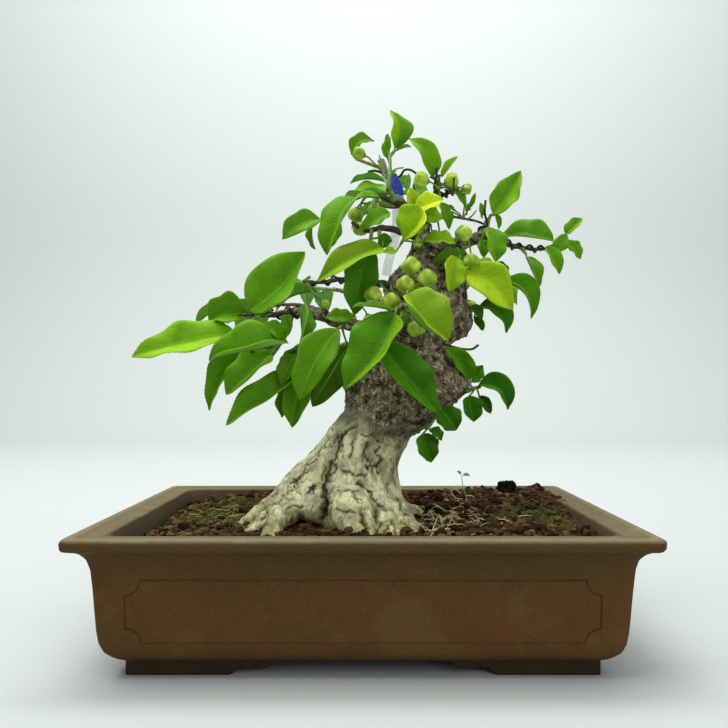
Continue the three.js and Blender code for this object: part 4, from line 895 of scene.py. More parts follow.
class Paint:
    """One material and the calls that build it."""

    def __init__(self, name):
        self.material = bpy.data.materials.new(name)
        self.material.use_nodes = True
        self.tree = self.material.node_tree
        self.tree.nodes.clear()
        self.place = self.node("ShaderNodeTexCoord", {}, {}, "Object")

    def node(self, kind, settings, links, output=0):
        made = self.tree.nodes.new(kind)
        for setting, value in settings.items():
            setattr(made, setting, value)
        for key, value in links.items():
            if isinstance(value, Field):
                self.tree.links.new(value.socket, made.inputs[key])
            elif value is not None:
                made.inputs[key].default_value = value
        return None if output is None else Field(self, made.outputs[output])

    def kept(self, name):
        """A number stored at each vertex."""
        return self.node("ShaderNodeAttribute", {"attribute_name": name}, {}, "Fac")

    def stretched(self, x, y, z):
        return self.node("ShaderNodeMapping", {}, {"Vector": self.place, "Scale": (x, y, z)})

    def noise(self, size, detail=3.0, rough=0.5, place=None, warp=0.0):
        """Soft noise with features of about this many millimetres, from 0 to 1."""
        links = {"Vector": place or self.place, "Scale": 1 / (size * MM), "Detail": detail, "Roughness": rough}
        return self.node("ShaderNodeTexNoise", {}, {**links, "Distortion": warp})

    def cells(self, size, feature="F1", place=None, output="Distance"):
        links = {"Vector": place or self.place, "Scale": 1 / (size * MM)}
        return self.node("ShaderNodeTexVoronoi", {"feature": feature}, links, output)

    def step(self, value, low, high):
        """0 below `low`, 1 above `high`, smooth between."""
        links = {"Value": value, "From Min": low, "From Max": high}
        return self.node("ShaderNodeMapRange", {"interpolation_type": "SMOOTHSTEP"}, links)

    def blend(self, first, second, share, kind="MIX"):
        """Mixes two colours."""
        links = {0: share}
        for key, value in ((6, first), (7, second)):
            links[key] = value if isinstance(value, Field) else (*value, 1)
        return self.node("ShaderNodeMix", {"data_type": "RGBA", "blend_type": kind}, links, 2)

    def height(self):
        """Height above the ground in millimetres."""
        return self.node("ShaderNodeSeparateXYZ", {}, {0: self.place}, "Z") * (1 / MM)

    def done(self, colour, roughness, relief=None, depth=0.3, strength=1.0, **constants):
        """Ends the material in one shader. `relief` is a height from 0 to 1, `depth` its size in millimetres."""
        links = {"Base Color": colour if isinstance(colour, Field) else (*colour, 1), "Roughness": roughness}
        links.update({key.replace("_", " "): value for key, value in constants.items()})
        if relief:
            bump = {"Height": relief, "Distance": depth * MM, "Strength": strength}
            links["Normal"] = self.node("ShaderNodeBump", {}, bump)
        shader = self.node("ShaderNodeBsdfPrincipled", {}, links)
        self.node("ShaderNodeOutputMaterial", {}, {"Surface": shader}, None)
        return self.material


def clay_finish(look):
    paint = Paint("fired_clay")
    cloud = paint.step(paint.noise(38, 3), 0.35, 0.65)
    fog = paint.step(paint.noise(16, 4, 0.6), 0.4, 0.7)
    grain = paint.noise(0.7, 2, 0.7)
    grit = paint.step(paint.cells(2.1), 0.0, 0.16)
    high = paint.height()
    shade = paint.blend(look.clay, look.clay_red, cloud)
    # Olive patches, plus painted shade: the upper wall darkens to olive towards the overhanging lip.
    shade = paint.blend(shade, look.clay_olive, paint.step(high, 34, 52) * 0.55 + fog * 0.35)
    lip = paint.step(high, 54.6, 55.4) * (1 - paint.step(high, 58.4, 59.2))
    shade = paint.blend(shade, look.clay_red, lip * 0.25)
    shade = paint.blend(shade, srgb(96, 78, 34), paint.step(paint.noise(30, 4, 0.6), 0.48, 0.66) * (1 - paint.step(high, 36, 50)) * 0.45)
    # Painted shade: the base and the feet darken towards the ground.
    shade = paint.blend(shade, srgb(36, 26, 18), (1 - paint.step(high + paint.noise(20) * 4, 6, 14)) * 0.75)
    # Painted light: the top face of the lip takes the paler rim colour, partly wear and partly light falling from
    # above.
    top = paint.step(high + paint.noise(3) * 0.5, 58.6, 59.3)
    shade = paint.blend(shade, look.rim, top)
    across = paint.node("ShaderNodeSeparateXYZ", {}, {0: paint.place}, "X")
    deep = paint.node("ShaderNodeSeparateXYZ", {}, {0: paint.place}, "Y")
    inner = 1 - paint.step(across.math("ABSOLUTE", across), (RIM_HALF[0] - 14) * MM, (RIM_HALF[0] - 13.6) * MM)
    inner = inner * (1 - paint.step(deep.math("ABSOLUTE", deep), (RIM_HALF[1] - 14) * MM, (RIM_HALF[1] - 13.6) * MM))
    shade = paint.blend(shade, srgb(82, 68, 46), inner * paint.step(high, 40, 44))
    shade = paint.blend(shade, srgb(134, 122, 92), top * paint.step(paint.noise(9, 4, 0.6), 0.5, 0.72) * 0.4)
    # Painted highlight on the highest band of the rim, which leaves the groove inside it looking darker.
    shade = paint.blend(shade, srgb(134, 122, 92), paint.step(high, 59.5, 59.8) * 0.5)
    shade = paint.blend(shade, srgb(40, 30, 20), (1 - grit) * 0.35)
    shade = paint.blend(shade, srgb(150, 126, 92), paint.step(grain, 0.56, 0.78) * 0.22)
    shade = paint.blend(shade, srgb(30, 22, 14), (1 - paint.step(grain, 0.26, 0.46)) * 0.3)
    relief = grain * 0.5 + paint.noise(2.6, 3) * 0.6 + grit * 0.4
    return paint.done(shade, 0.78 + fog * 0.14, relief, 0.16, IOR=1.28)


def earth_finish(look, loose=False):
    paint = Paint("loose_grains" if loose else "earth")
    lump = paint.noise(3.2, 5, 0.65)
    patch = paint.noise(24, 3)
    tone = paint.kept("raised")
    # Painted shade: on the soil bed the stored value follows the relief, so the low places between the clumps go nearly
    # black; on the loose grains it is a random tone.
    shade = paint.blend(srgb(20, 12, 8), look.earth, paint.step(tone + lump * 0.5, 0.35, 0.95))
    shade = paint.blend(shade, look.crumb, paint.step(tone * 0.6 + lump, 0.8, 1.2) * (0.25 + paint.step(patch, 0.3, 0.6) * 0.6))
    shade = paint.blend(shade, srgb(88, 46, 30), paint.step(paint.noise(9, 2), 0.5, 0.7) * 0.25)
    shade = paint.blend(shade, srgb(112, 96, 46), paint.step(paint.noise(15, 3), 0.52, 0.72) * paint.step(lump, 0.4, 0.6) * 0.5)
    shade = paint.blend(shade, look.moss, paint.kept("mossy") * paint.step(lump, 0.35, 0.62))
    return paint.done(shade, 0.95, paint.noise(0.9, 4, 0.7), 0.5, IOR=1.2)


def fibre_finish(look):
    """Cream fibres on the right, older straw-coloured ones on the left."""
    paint = Paint("root_fibre")
    side = paint.node("ShaderNodeSeparateXYZ", {}, {0: paint.place}, "X")
    shade = paint.blend(look.fibre, srgb(150, 132, 92), paint.step(paint.noise(2, 3), 0.5, 0.7) * 0.5)
    shade = paint.blend(shade, srgb(136, 128, 66), (1 - paint.step(side, -0.02, 0.0)) * 0.75)
    return paint.done(shade, 0.85, paint.noise(1), 0.1, IOR=1.4)


def bark_finish(look):
    paint = Paint("cracked_bark")
    high = paint.height()
    burl = paint.kept("burl")
    crack_and_shade = paint.kept("crack_and_shade")
    lift = paint.kept("lift")
    flow = paint.stretched(1, 1, 0.42)
    streak = paint.noise(1.7, 5, 0.68, flow, 0.9)
    line = burl.math("ABSOLUTE", paint.noise(6.5, 3, 0.5, flow, 0.6) - 0.5)
    dash = (1 - paint.step(line, 0.005, 0.022)) * paint.step(paint.noise(6, 2), 0.48, 0.6)
    fine = paint.noise(0.8, 3, 0.7)
    pale = paint.blend(look.pale, srgb(154, 158, 128), paint.step(paint.noise(9, 4, 0.6), 0.44, 0.62) * 0.85)
    pale = paint.blend(pale, srgb(150, 134, 100), paint.step(paint.noise(14, 3), 0.55, 0.7) * 0.5)
    pale = paint.blend(pale, look.aged, (1 - paint.step(high, 54, 74)) * paint.step(paint.noise(8, 3), 0.32, 0.6) * 0.85)
    pale = paint.blend(pale, srgb(244, 242, 212), paint.step(streak, 0.54, 0.68) * 0.55)
    pale = paint.blend(pale, srgb(112, 106, 70), (1 - paint.step(streak, 0.34, 0.45)) * 0.4)
    pale = paint.blend(pale, srgb(60, 52, 32), dash * 0.9)
    pale = paint.blend(srgb(150, 146, 106), pale, paint.step(lift, 0.0, 0.5) * 0.55 + 0.45)
    worm = paint.noise(4.6, 4, 0.62, paint.stretched(1, 1, 0.75), 1.0)
    ridge = 1 - paint.step(burl.math("ABSOLUTE", worm - 0.5), 0.014, 0.06)
    pit = 1 - paint.step(paint.noise(2.8, 4, 0.62, None, 0.6) + lift * 0.16, 0.42, 0.5)
    rough = paint.step(paint.noise(11, 2), 0.36, 0.6)
    knob = paint.blend(srgb(128, 116, 86), srgb(86, 70, 50), paint.step(paint.noise(6, 3) + (1 - paint.step(high, 98, 116)) * 0.12, 0.42, 0.6))
    knob = paint.blend(knob, look.dark, paint.step(paint.noise(2, 4, 0.7) + lift * 0.2, 0.52, 0.68))
    knob = paint.blend(knob, look.fleck, ridge * paint.step(paint.noise(3.4, 2) + lift * 0.2, 0.44, 0.56) * (rough * 0.35 + 0.65))
    knob = paint.blend(knob, srgb(22, 18, 12), pit * 0.88)
    knob = paint.blend(knob, srgb(118, 102, 72), paint.step(paint.noise(10, 2), 0.55, 0.72) * 0.35)
    shade = paint.blend(pale, knob, burl)
    # The crack colour also paints the shade in the hollows and the shadow under the burl.
    shade = paint.blend(shade, look.crack_and_shade, crack_and_shade)
    # Darker brown bark towards the soil line.
    soil_line_darkening = (1 - paint.step(high + paint.noise(5, 3) * 8, 53, 60)) * paint.step(paint.noise(3, 3), 0.3, 0.5)
    shade = paint.blend(shade, srgb(74, 56, 34), soil_line_darkening * 0.75)
    relief = streak * 0.55 + fine * 0.25 - dash * 0.5 + (ridge - pit) * burl * 0.6 - crack_and_shade * 0.4
    return paint.done(shade, 0.88, relief, 0.75, IOR=1.25)


def twig_finish(look):
    paint = Paint("twig_bark")
    ring = paint.noise(1.1, 3, 0.6)
    shade = paint.blend(look.twig, srgb(52, 46, 34), paint.step(ring, 0.4, 0.6))
    shade = paint.blend(shade, srgb(150, 142, 112), paint.step(paint.noise(0.8, 3, 0.7), 0.6, 0.74) * 0.6)
    return paint.done(shade, 0.8, ring, 0.25, IOR=1.4)


def leaf_finish(name, look, upper, under=False):
    """A blade: midrib, side veins and the swelling between them follow the blade's own map."""
    paint = Paint(name)
    spot = paint.node("ShaderNodeUVMap", {"uv_map": "UVMap"}, {}, "UV")
    across = paint.node("ShaderNodeSeparateXYZ", {}, {0: spot}, "X")
    along = paint.node("ShaderNodeSeparateXYZ", {}, {0: spot}, "Y")
    out = across.math("ABSOLUTE", across - 0.5) * 2
    rib = 1 - paint.step(out - (1 - along) * 0.022, 0.012, 0.05)
    half = across.math("GREATER_THAN", across, 0.5) * 0.5
    lane = across.math("FRACT", (along - out * 0.2) * 8.5 + half + paint.noise(9, 1) * 0.25)
    vein = paint.step(across.math("ABSOLUTE", lane - 0.5) * 2, 0.86, 0.99) * (1 - paint.step(out, 0.7, 0.98))
    net = 1 - paint.step(paint.cells(1.9, "DISTANCE_TO_EDGE"), 0.02, 0.1)
    tone = paint.kept("tone")
    # Painted light and shade: a shaded and a lit copy of the upper colour; the stored value picks between them for each
    # half, and from 1 to 1.5 goes on to the young leaf's own colour.
    darker_and_shaded = tuple(part * 0.36 for part in upper)
    bright = tuple(min(1, part * gain) for part, gain in zip(upper, (2.3, 1.62, 1.9)))
    light = tuple(mix(min(1, part * 1.7), own, 0.25) for part, own in zip(upper, look.vein))
    shade = paint.blend(darker_and_shaded, upper, paint.step(tone, 0.0, 0.5))
    shade = paint.blend(shade, bright, paint.step(tone, 0.5, 1.0))
    shade = paint.blend(shade, look.young, paint.step(tone, 1.0, 1.5))
    shade = paint.blend(shade, darker_and_shaded, paint.step(paint.noise(13, 3, 0.6), 0.48, 0.75) * 0.4)
    shade = paint.blend(shade, light, rib * (0.8 if under else 0.6) + vein * (0.35 if under else 0.1))
    shade = paint.blend(shade, darker_and_shaded, net * (0.05 if under else 0.1))
    shade = paint.blend(shade, light, paint.step(out, 0.95, 1.0) * 0.4)
    relief = vein * (0.6 if under else -0.6) + net * 0.1 + paint.noise(3.5, 2) * 0.6 - rib * 0.5
    wax = 0.5 if under else 0.38
    radius = (0.6 * MM, 0.9 * MM, 0.1 * MM)
    return paint.done(
        shade, wax + paint.noise(4, 2) * 0.1, relief, 0.25, IOR=1.3, Specular_IOR_Level=0.25,
        Subsurface_Weight=0.25, Subsurface_Scale=1.0, Subsurface_Radius=radius,
    )


def stalk_finish(name, look):
    paint = Paint(name)
    shade = paint.blend(look.stalk, srgb(78, 116, 40), paint.step(paint.noise(2, 2), 0.4, 0.7))
    return paint.done(shade, 0.5, paint.noise(0.6, 2), 0.08, IOR=1.42)


def fruit_finish(look):
    paint = Paint("capsule_skin")
    patch = paint.step(paint.noise(6, 3), 0.36, 0.64)
    shade = paint.blend(look.skin, look.blush, patch * 0.75)
    shade = paint.blend(shade, srgb(196, 208, 118), paint.step(paint.noise(1.1, 3), 0.56, 0.74) * 0.35)
    shade = paint.blend(shade, look.suture, paint.kept("suture"))
    relief = paint.noise(0.9, 3) * 0.7
    radius = (0.9 * MM, 1.1 * MM, 0.4 * MM)
    return paint.done(
        shade, 0.42, relief, 0.1, IOR=1.35, Subsurface_Weight=0.3, Subsurface_Scale=1.0, Subsurface_Radius=radius
    )


def plain_finish(name, shade, worn, roughness, depth, size=1.0, **constants):
    """A smooth man-made surface with slight wear."""
    paint = Paint(name)
    wear = paint.noise(size, 3, 0.6)
    shade = paint.blend(shade, worn, paint.step(wear, 0.5, 0.75) * 0.5)
    return paint.done(shade, roughness + wear * 0.12, wear, depth, **constants)


# Pot
RIM_HALF = (120, 92.5)
FOOT_INSET = 21
FOOT_DEEP = 9
DRAIN_HOLE = {"x": 55, "radius": 7, "mesh": (-55, 55)}
PANEL = {"long": 96.6, "short": 69.1, "low": 15.6, "high": 43, "notch": 6, "wall": ((16, 11.4), (43, 9.24))}


def ring_place(turn, inset, corner):
    """A point of a rounded rectangle inside the edge of the lip, at a share of a turn."""
    half = [side - inset - corner for side in RIM_HALF]
    lengths = [2 * half[1], math.pi / 2 * corner, 2 * half[0], math.pi / 2 * corner] * 2
    spot = turn % 1 * sum(lengths)
    x, y, heading = half[0] + corner, -half[1], 90
    for i, part in enumerate(lengths):
        used = min(spot, part)
        angle = math.radians(heading)
        if i % 2 == 0:
            x += used * math.cos(angle)
            y += used * math.sin(angle)
        else:
            bend = math.radians(90) * used / part
            middle = (x - corner * math.sin(angle), y + corner * math.cos(angle))
            x = middle[0] + corner * math.sin(angle + bend)
            y = middle[1] - corner * math.cos(angle + bend)
            heading += 90 * used / part
        spot -= used
        if spot <= 0:
            break
    return x, y


def pot_profile():
    """The levels of the wall with every step rounded, and rings across the base and the floor. Each: height, distance
    in, corner radius, and the share of its size that a ring keeps."""
    rings = [(*POT_LEVELS[0], share) for share in (0.1, 0.4, 0.7, 0.95)]
    for (z0, i0, r0), (z1, i1, r1) in zip(POT_LEVELS, POT_LEVELS[1:]):
        size = math.hypot(z1 - z0, i1 - i0)
        inside = [0.5] if size < 1.6 else [min(0.5, 0.5 / size), 1 - min(0.5, 0.5 / size)]
        if size > 6:
            inside = [0.5 / size, *[k / 6 for k in range(1, 6)], 1 - 0.5 / size]
        rings.extend((mix(z0, z1, s), mix(i0, i1, s), mix(r0, r1, s), 1) for s in inside)
    rings.extend((*POT_LEVELS[-1], share) for share in (0.97, 0.7, 0.4, 0.1))
    return rings


def corner_foot():
    """The foot of one corner: two stepped legs that meet in a mitre."""
    ledge_end, ground_end, top = 59, 43, 9
    curve = [(ledge_end + 5 - 5 * s**2, top - 6 * s) for s in (0.0, 0.25, 0.5, 0.75, 1.0)]
    heel = [(ground_end + 3.5, 3), (ground_end + 2.3, 1.3), (ground_end + 1.2, 0.4), (ground_end, 0)]
    side = [(0, 0), (0, top), *curve, *heel]
    corner = (RIM_HALF[0] - FOOT_INSET, RIM_HALF[1] - FOOT_INSET)
    places, faces = [], []
    for along, back in ((0, 1), (1, 0)):
        first = len(places)
        for depth in (0, FOOT_DEEP):
            for away, z in side:
                place = [0, 0, z * MM]
                place[along] = (corner[along] - max(away, depth if away == 0 else 0)) * MM
                place[back] = (corner[back] - depth) * MM
                places.append(place)
        count = len(side)
        faces.append([first + i for i in range(count)])
        faces.append([first + count + i for i in reversed(range(count))])
        for i in range(1, count):
            j = (i + 1) % count
            faces.append([first + i, first + j, first + count + j, first + count + i])
    mesh = bpy.data.meshes.new("foot")
    mesh.from_pydata(places, [], faces)
    foot = bpy.data.objects.new("foot", mesh)
    bpy.context.collection.objects.link(foot)
    edit(
        foot,
        lambda: bpy.ops.mesh.remove_doubles(threshold=1e-5),
        lambda: bpy.ops.mesh.normals_make_consistent(inside=False),
    )
    apply_modifier(foot, "BEVEL", width=0.7 * MM, segments=3, limit_method="ANGLE", angle_limit=math.radians(50))
    return foot


def panel_line(half_length, turn, reach, line):
    """A thin rod along the pressed line of one wall, with a notch at each corner."""
    (low, inset_low), (high, inset_high) = PANEL["wall"]
    lean = math.atan2(inset_low - inset_high, high - low)
    middle = (PANEL["low"] + PANEL["high"]) / 2
    inset = mix(inset_low, inset_high, (middle - low) / (high - low))
    x, y, notch = half_length - 0.6, (PANEL["high"] - PANEL["low"]) / 2 - 0.6, PANEL["notch"] + 0.3
    outline = []
    for sx, sy, start in ((-1, -1, 90), (1, -1, 180), (1, 1, 270), (-1, 1, 0)):
        for step in range(9):
            angle = math.radians(start - 90 * step / 8)
            outline.append((sx * x + notch * math.cos(angle), sy * y + notch * math.sin(angle)))
    fine = []
    for (x0, y0), (x1, y1) in zip(outline, outline[1:] + outline[:1]):
        count = max(1, int(math.hypot(x1 - x0, y1 - y0) / 6))
        fine.extend((mix(x0, x1, i / count), mix(y0, y1, i / count)) for i in range(count))
    places = []
    for across, up in fine:
        flat = Vector((across, inset - reach - up * math.sin(lean), middle + up * math.cos(lean)))
        places.append(Quaternion((0, 0, 1), turn) @ flat)
    rod = bpy.data.curves.new("line", "CURVE")
    rod.dimensions = "3D"
    rod.bevel_depth = line
    rod.bevel_resolution = 3
    spline = rod.splines.new("POLY")
    spline.use_cyclic_u = True
    spline.points.add(len(places) - 1)
    for spot, place in zip(spline.points, places):
        spot.co = (*(place * MM), 1)
    piece = bpy.data.objects.new("line", rod)
    bpy.context.collection.objects.link(piece)
    choose(piece)
    bpy.ops.object.convert(target="MESH")
    edit(piece, lambda: bpy.ops.mesh.normals_make_consistent(inside=False))
    return bpy.context.object


class BONSAI_OT_pot(bpy.types.Operator):
    """Model the clay pot: walls and lip, pressed panel lines, feet and drain holes"""

    bl_idname = "bonsai.pot"
    bl_label = "Clay pot"

    def execute(self, context):
        look = context.scene.bonsai.pot
        rings = pot_profile()

        def wall(turn, share):
            spot = share * (len(rings) + 1) - 1
            first = min(max(round(spot), 0), len(rings) - 1)
            z, inset, corner, kept = rings[first]
            x, y = ring_place(turn, inset, corner)
            if abs(spot - first) > 0.5:
                kept = 0
            return x * kept, y * kept, z

        pot = drawn_out("clay_pot", 220, len(rings) + 1, wall)
        for sx in (-1, 1):
            for sy in (-1, 1):
                foot = corner_foot()
                move_to(foot, places_of(foot) / MM * (sx, sy, 1))
                edit(foot, lambda: bpy.ops.mesh.normals_make_consistent(inside=False))
                cut(pot, foot, "UNION")
        for sign in (-1, 1):
            bpy.ops.object.select_all(action="DESELECT")
            bpy.ops.mesh.primitive_cylinder_add(
                vertices=40, radius=DRAIN_HOLE["radius"] * MM, depth=30 * MM,
                location=(sign * DRAIN_HOLE["x"] * MM, 0, 13 * MM),
            )
            cut(pot, bpy.context.object)
        lines = []
        for quarter in range(4):
            half = PANEL["short"] if quarter % 2 else PANEL["long"]
            reach = RIM_HALF[0] if quarter % 2 else RIM_HALF[1]
            lines.append(panel_line(half, math.pi / 2 * quarter + 1e-4, reach + 0.003 * quarter, look.line))
        cut(pot, join("lines", *lines))
        places = places_of(pot) / MM
        for place in places:
            sway = noise.noise(Vector(place) * 0.035) + 0.5 * noise.noise(Vector(place) * 0.11)
            if place[2] > 12:
                away = Vector((place[0], place[1], 0)).normalized()
                place[:2] -= np.array(away[:2]) * abs(sway) * look.uneven / MM
        move_to(pot, places)
        smooth_faces(pot, 35)
        pot.data.materials.clear()
        pot.data.materials.append(clay_finish(look))
        finish(pot, "clay", "pot")
        mesh_finish = plain_finish("mesh_plastic", srgb(30, 30, 30), srgb(60, 58, 54), 0.5, 0.1)
        for side in ("left", "right"):
            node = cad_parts["drain_mesh_" + side]
            node.data.materials.clear()
            node.data.materials.append(mesh_finish)
        return {"FINISHED"}


# Soil
SOIL = {"edge": 53.6, "mound": 2.4, "right": 3, "back": 2, "corner": 1.2, "half": (104.65, 77.15), "round": 7.5}
CLOD = (83, 60, 64.5)
FIBRE_PLACES = [(36, 56), (44, 55), (50, 54), (57, 52), (40, 51), (47, 49), (55, 49), (33, 52), (62, 55), (50, 59)]
FIBRE_PLACES += [(30, 54), (32, 51), (34, 49), (29, 56), (31, 53), (38, 48), (-70, 53), (-64, 54), (-60, 51), (-66, 52), (-62, 50), (74, 53), (-78, 54), (-72, 56), (-56, 56), (-50, 55), (-68, 57), (38, 50), (41, 49), (46, 57), (50, 61), (49, 64)]
MOSS_PLACES = [(-86, 53, 9), (88, 57, 13), (76, 55, 11), (98, 53, 8), (-60, 55, 11), (-48, 56, 7), (-74, 56, 12), (-66, 60, 13), (-54, 61, 9), (-78, 57, 10), (-52, 55, 7), (38, 52, 6)]


def soil_level(x, y):
    """The mean level of the soil."""
    u, v = x / 105, y / 77.5
    mound = (1 - u**4) * (1 - v**4)
    heap = 4.5 * math.exp(-(((x + 66) / 24) ** 2) - ((y - 58) / 26) ** 2)
    return heap + SOIL["edge"] + SOIL["mound"] * mound + SOIL["right"] * u + SOIL["back"] * v + SOIL["corner"] * u * v


def on_soil(x, z):
    """Where the soil lies that is seen at a place of the upright plane through the pot's middle."""
    aim = (Vector((x, 0, z)) - EYE).normalized()
    for step in range(1400):
        place = EYE + aim * (300 + step * 0.2)
        if place.z < soil_level(place.x, place.y):
            return place
    return EYE + aim * 420


def soil_relief(x, y, height):
    """Crumbs and clumps over the mean level, and how raised a place is from 0 to 1."""
    warp = noise.noise(Vector((x * 0.2, y * 0.2, 3.1))) * 1.6
    coarse = noise.voronoi(Vector((x / 5.6 + warp * 0.15, y / 5.6, 0.4)))[0]
    small = noise.voronoi(Vector((x / 2.3, y / 2.3 + warp * 0.3, 7.7)))[0]
    clump = min(1, max(0, (coarse[1] - coarse[0]) * 1.6))
    crumb = min(1, max(0, (small[1] - small[0]) * 1.5))
    broad = noise.noise(Vector((x / 11, y / 11, 1.7)))
    value = 0.5 * clump + 0.3 * crumb + 0.5 * broad
    return (value - 0.35) * height, min(1, max(0, 0.2 + value * 0.9))


def mossiness(x, y):
    spots = [(on_soil(a, b), size) for a, b, size in MOSS_PLACES]
    return lambda px, py: max(math.exp(-(((px - s.x) ** 2 + (py - s.y) ** 2 * 0.35) / size**2)) for s, size in spots)


class BONSAI_OT_soil(bpy.types.Operator):
    """Model the soil: clumped surface, loose grains, a clod, dead root fibres and moss"""

    bl_idname = "bonsai.soil"
    bl_label = "Soil"

    def execute(self, context):
        look = context.scene.bonsai.soil
        relief = look.relief / MM
        half_x, half_y = SOIL["half"]
        corner = SOIL["round"]
        mossy = mossiness(0, 0)
        bpy.ops.object.select_all(action="DESELECT")
        bpy.ops.mesh.primitive_grid_add(x_subdivisions=200, y_subdivisions=150, size=2)
        soil = named("soil_bed")
        places = places_of(soil)
        raised, moss = [], []
        for place in places:
            x, y = place[0] * half_x, place[1] * half_y
            dx, dy = abs(x) - (half_x - corner), abs(y) - (half_y - corner)
            if dx > 0 and dy > 0:
                share = max(dx, dy) / math.hypot(dx, dy)
                x = math.copysign(half_x - corner + dx * share, x)
                y = math.copysign(half_y - corner + dy * share, y)
            high, value = soil_relief(x, y, relief)
            edge = smooth(max(abs(x) / half_x, abs(y) / half_y), 0.965, 1.0)
            place[:] = (x, y, soil_level(x, y) + high * (1 - edge) - edge * 0.8)
            raised.append(value)
            moss.append(mossy(x, y))
        move_to(soil, places)
        keep_value(soil, "raised", raised)
        keep_value(soil, "mossy", moss)
        rim = [(20, 19.85, 8), (14.5, 23.35, 10), (13.35, 29.35, 12)]
        mesh = bmesh.new()
        mesh.from_mesh(soil.data)
        border = [edge for edge in mesh.edges if edge.is_boundary]
        for z, inset, _ in rim:
            made = bmesh.ops.extrude_edge_only(mesh, edges=border)["geom"]
            border = [part for part in made if isinstance(part, bmesh.types.BMEdge)]
            for vertex in {vertex for edge in border for vertex in edge.verts}:
                x, y = vertex.co.x / MM, vertex.co.y / MM
                scale = ((RIM_HALF[0] - inset) / half_x, (RIM_HALF[1] - inset) / half_y)
                if z != 20:
                    scale = ((RIM_HALF[0] - inset) / (RIM_HALF[0] - before), (RIM_HALF[1] - inset) / (RIM_HALF[1] - before))
                vertex.co = Vector((x * scale[0], y * scale[1], z)) * MM
            before = inset
        bmesh.ops.contextual_create(mesh, geom=border)
        bmesh.ops.recalc_face_normals(mesh, faces=mesh.faces)
        mesh.to_mesh(soil.data)
        mesh.free()
        smooth_faces(soil, 80)
        soil.data.materials.append(earth_finish(look))
        finish(soil, "soil", "soil")

        draw = draws(97)
        bpy.ops.object.select_all(action="DESELECT")
        bpy.ops.mesh.primitive_ico_sphere_add(subdivisions=1, radius=1)
        master = bpy.context.object
        rough = places_of(master)
        for place in rough:
            place *= 1 + 0.75 * noise.noise(Vector(place) * 2.9)
        move_to(master, rough / MM)
        middles, sizes, turns, values = [], [], [], []
        while len(middles) < look.grains:
            x, y = draw(-half_x + 3, half_x - 3), draw(-half_y + 3, half_y - 3)
            high, value = soil_relief(x, y, relief)
            size = 0.4 + 2.4 * draw() ** 3.2
            middles.append((x, y, soil_level(x, y) + high + size * draw(-0.1, 0.45)))
            sizes.append((size * draw(0.8, 1.3), size * draw(0.7, 1.1), size * draw(0.55, 0.95)))
            turns.append(Quaternion((draw(-1, 1), draw(-1, 1), draw(-1, 1), draw(-1, 1))).normalized().to_matrix())
            values.append(draw(0.05, 0.9))
        for spill in range(430):
            x, y = draw(92, 108), draw(0, 80)
            if spill > 260:
                x, y = draw(40, 108), draw(70, 80)
            size = draw(0.5, 2.3)
            heap = 0.8 + 1.5 * smooth(noise.noise(Vector((x / 9, y / 9, 5))), -0.1, 0.4) * smooth(y, 20, 60)
            middles.append((x, y, soil_level(min(x, 103), min(y, 76)) + draw(-0.3, heap)))
            sizes.append((size, size * 0.9, size * 0.75))
            turns.append(Quaternion((draw(-1, 1), draw(-1, 1), draw(-1, 1), 0.3)).normalized().to_matrix())
            values.append(draw(0.2, 0.9))
        for _ in range(46):
            away = [draw(-1, 1) for _ in range(3)]
            middles.append((CLOD[0] + away[0] * 4.6, CLOD[1] + away[1] * 3, CLOD[2] - 1.2 + away[2] * 2.2 + away[0] * 0.9))
            size = draw(0.9, 2.2)
            sizes.append((size, size, size * 0.8))
            turns.append(Quaternion((draw(-1, 1), draw(-1, 1), draw(-1, 1), 0.2)).normalized().to_matrix())
            values.append(draw(0.05, 0.3))
        grains = strewn("soil_grains", master, np.array(turns), np.array(middles), np.array(sizes))
        per_grain = len(grains.data.vertices) // len(middles)
        keep_value(grains, "raised", np.repeat(values, per_grain))
        keep_value(grains, "mossy", np.repeat([mossy(m[0], m[1]) * 0.8 for m in middles], per_grain))
        smooth_faces(grains, 25)
        grains.data.materials.append(earth_finish(look, loose=True))
        finish(grains, "soil")

        tubes = []
        for x, z in FIBRE_PLACES * 5:
            start = on_soil(x + draw(-5, 5), z + draw(-3, 3))
            heading = draw(0, math.tau)
            count = 7
            places, radii = [], []
            size = draw(0.15, 0.3)
            reach = draw(0.7, 1.8)
            wander = draw(0.2, 1.0)
            spot = start + Vector((0, 0, -0.4))
            climb = draw(0.4, 1.5) if draw() < 0.7 else 0.1
            for i in range(count):
                places.append(spot.copy())
                radii.append(size * (1 - 0.5 * i / count))
                heading += draw(-wander, wander)
                lift = climb * (1 - i * 0.25 + draw(-0.7, 0.7))
                spot += Vector((math.cos(heading) * reach, math.sin(heading) * reach, lift))
                spot.z = max(spot.z, soil_level(spot.x, spot.y) - 0.2)
            tubes.append((places, radii))
        fibres = strands("root_fibres", tubes, 4)
        fibres.data.materials.append(fibre_finish(look))
        finish(fibres, "soil")

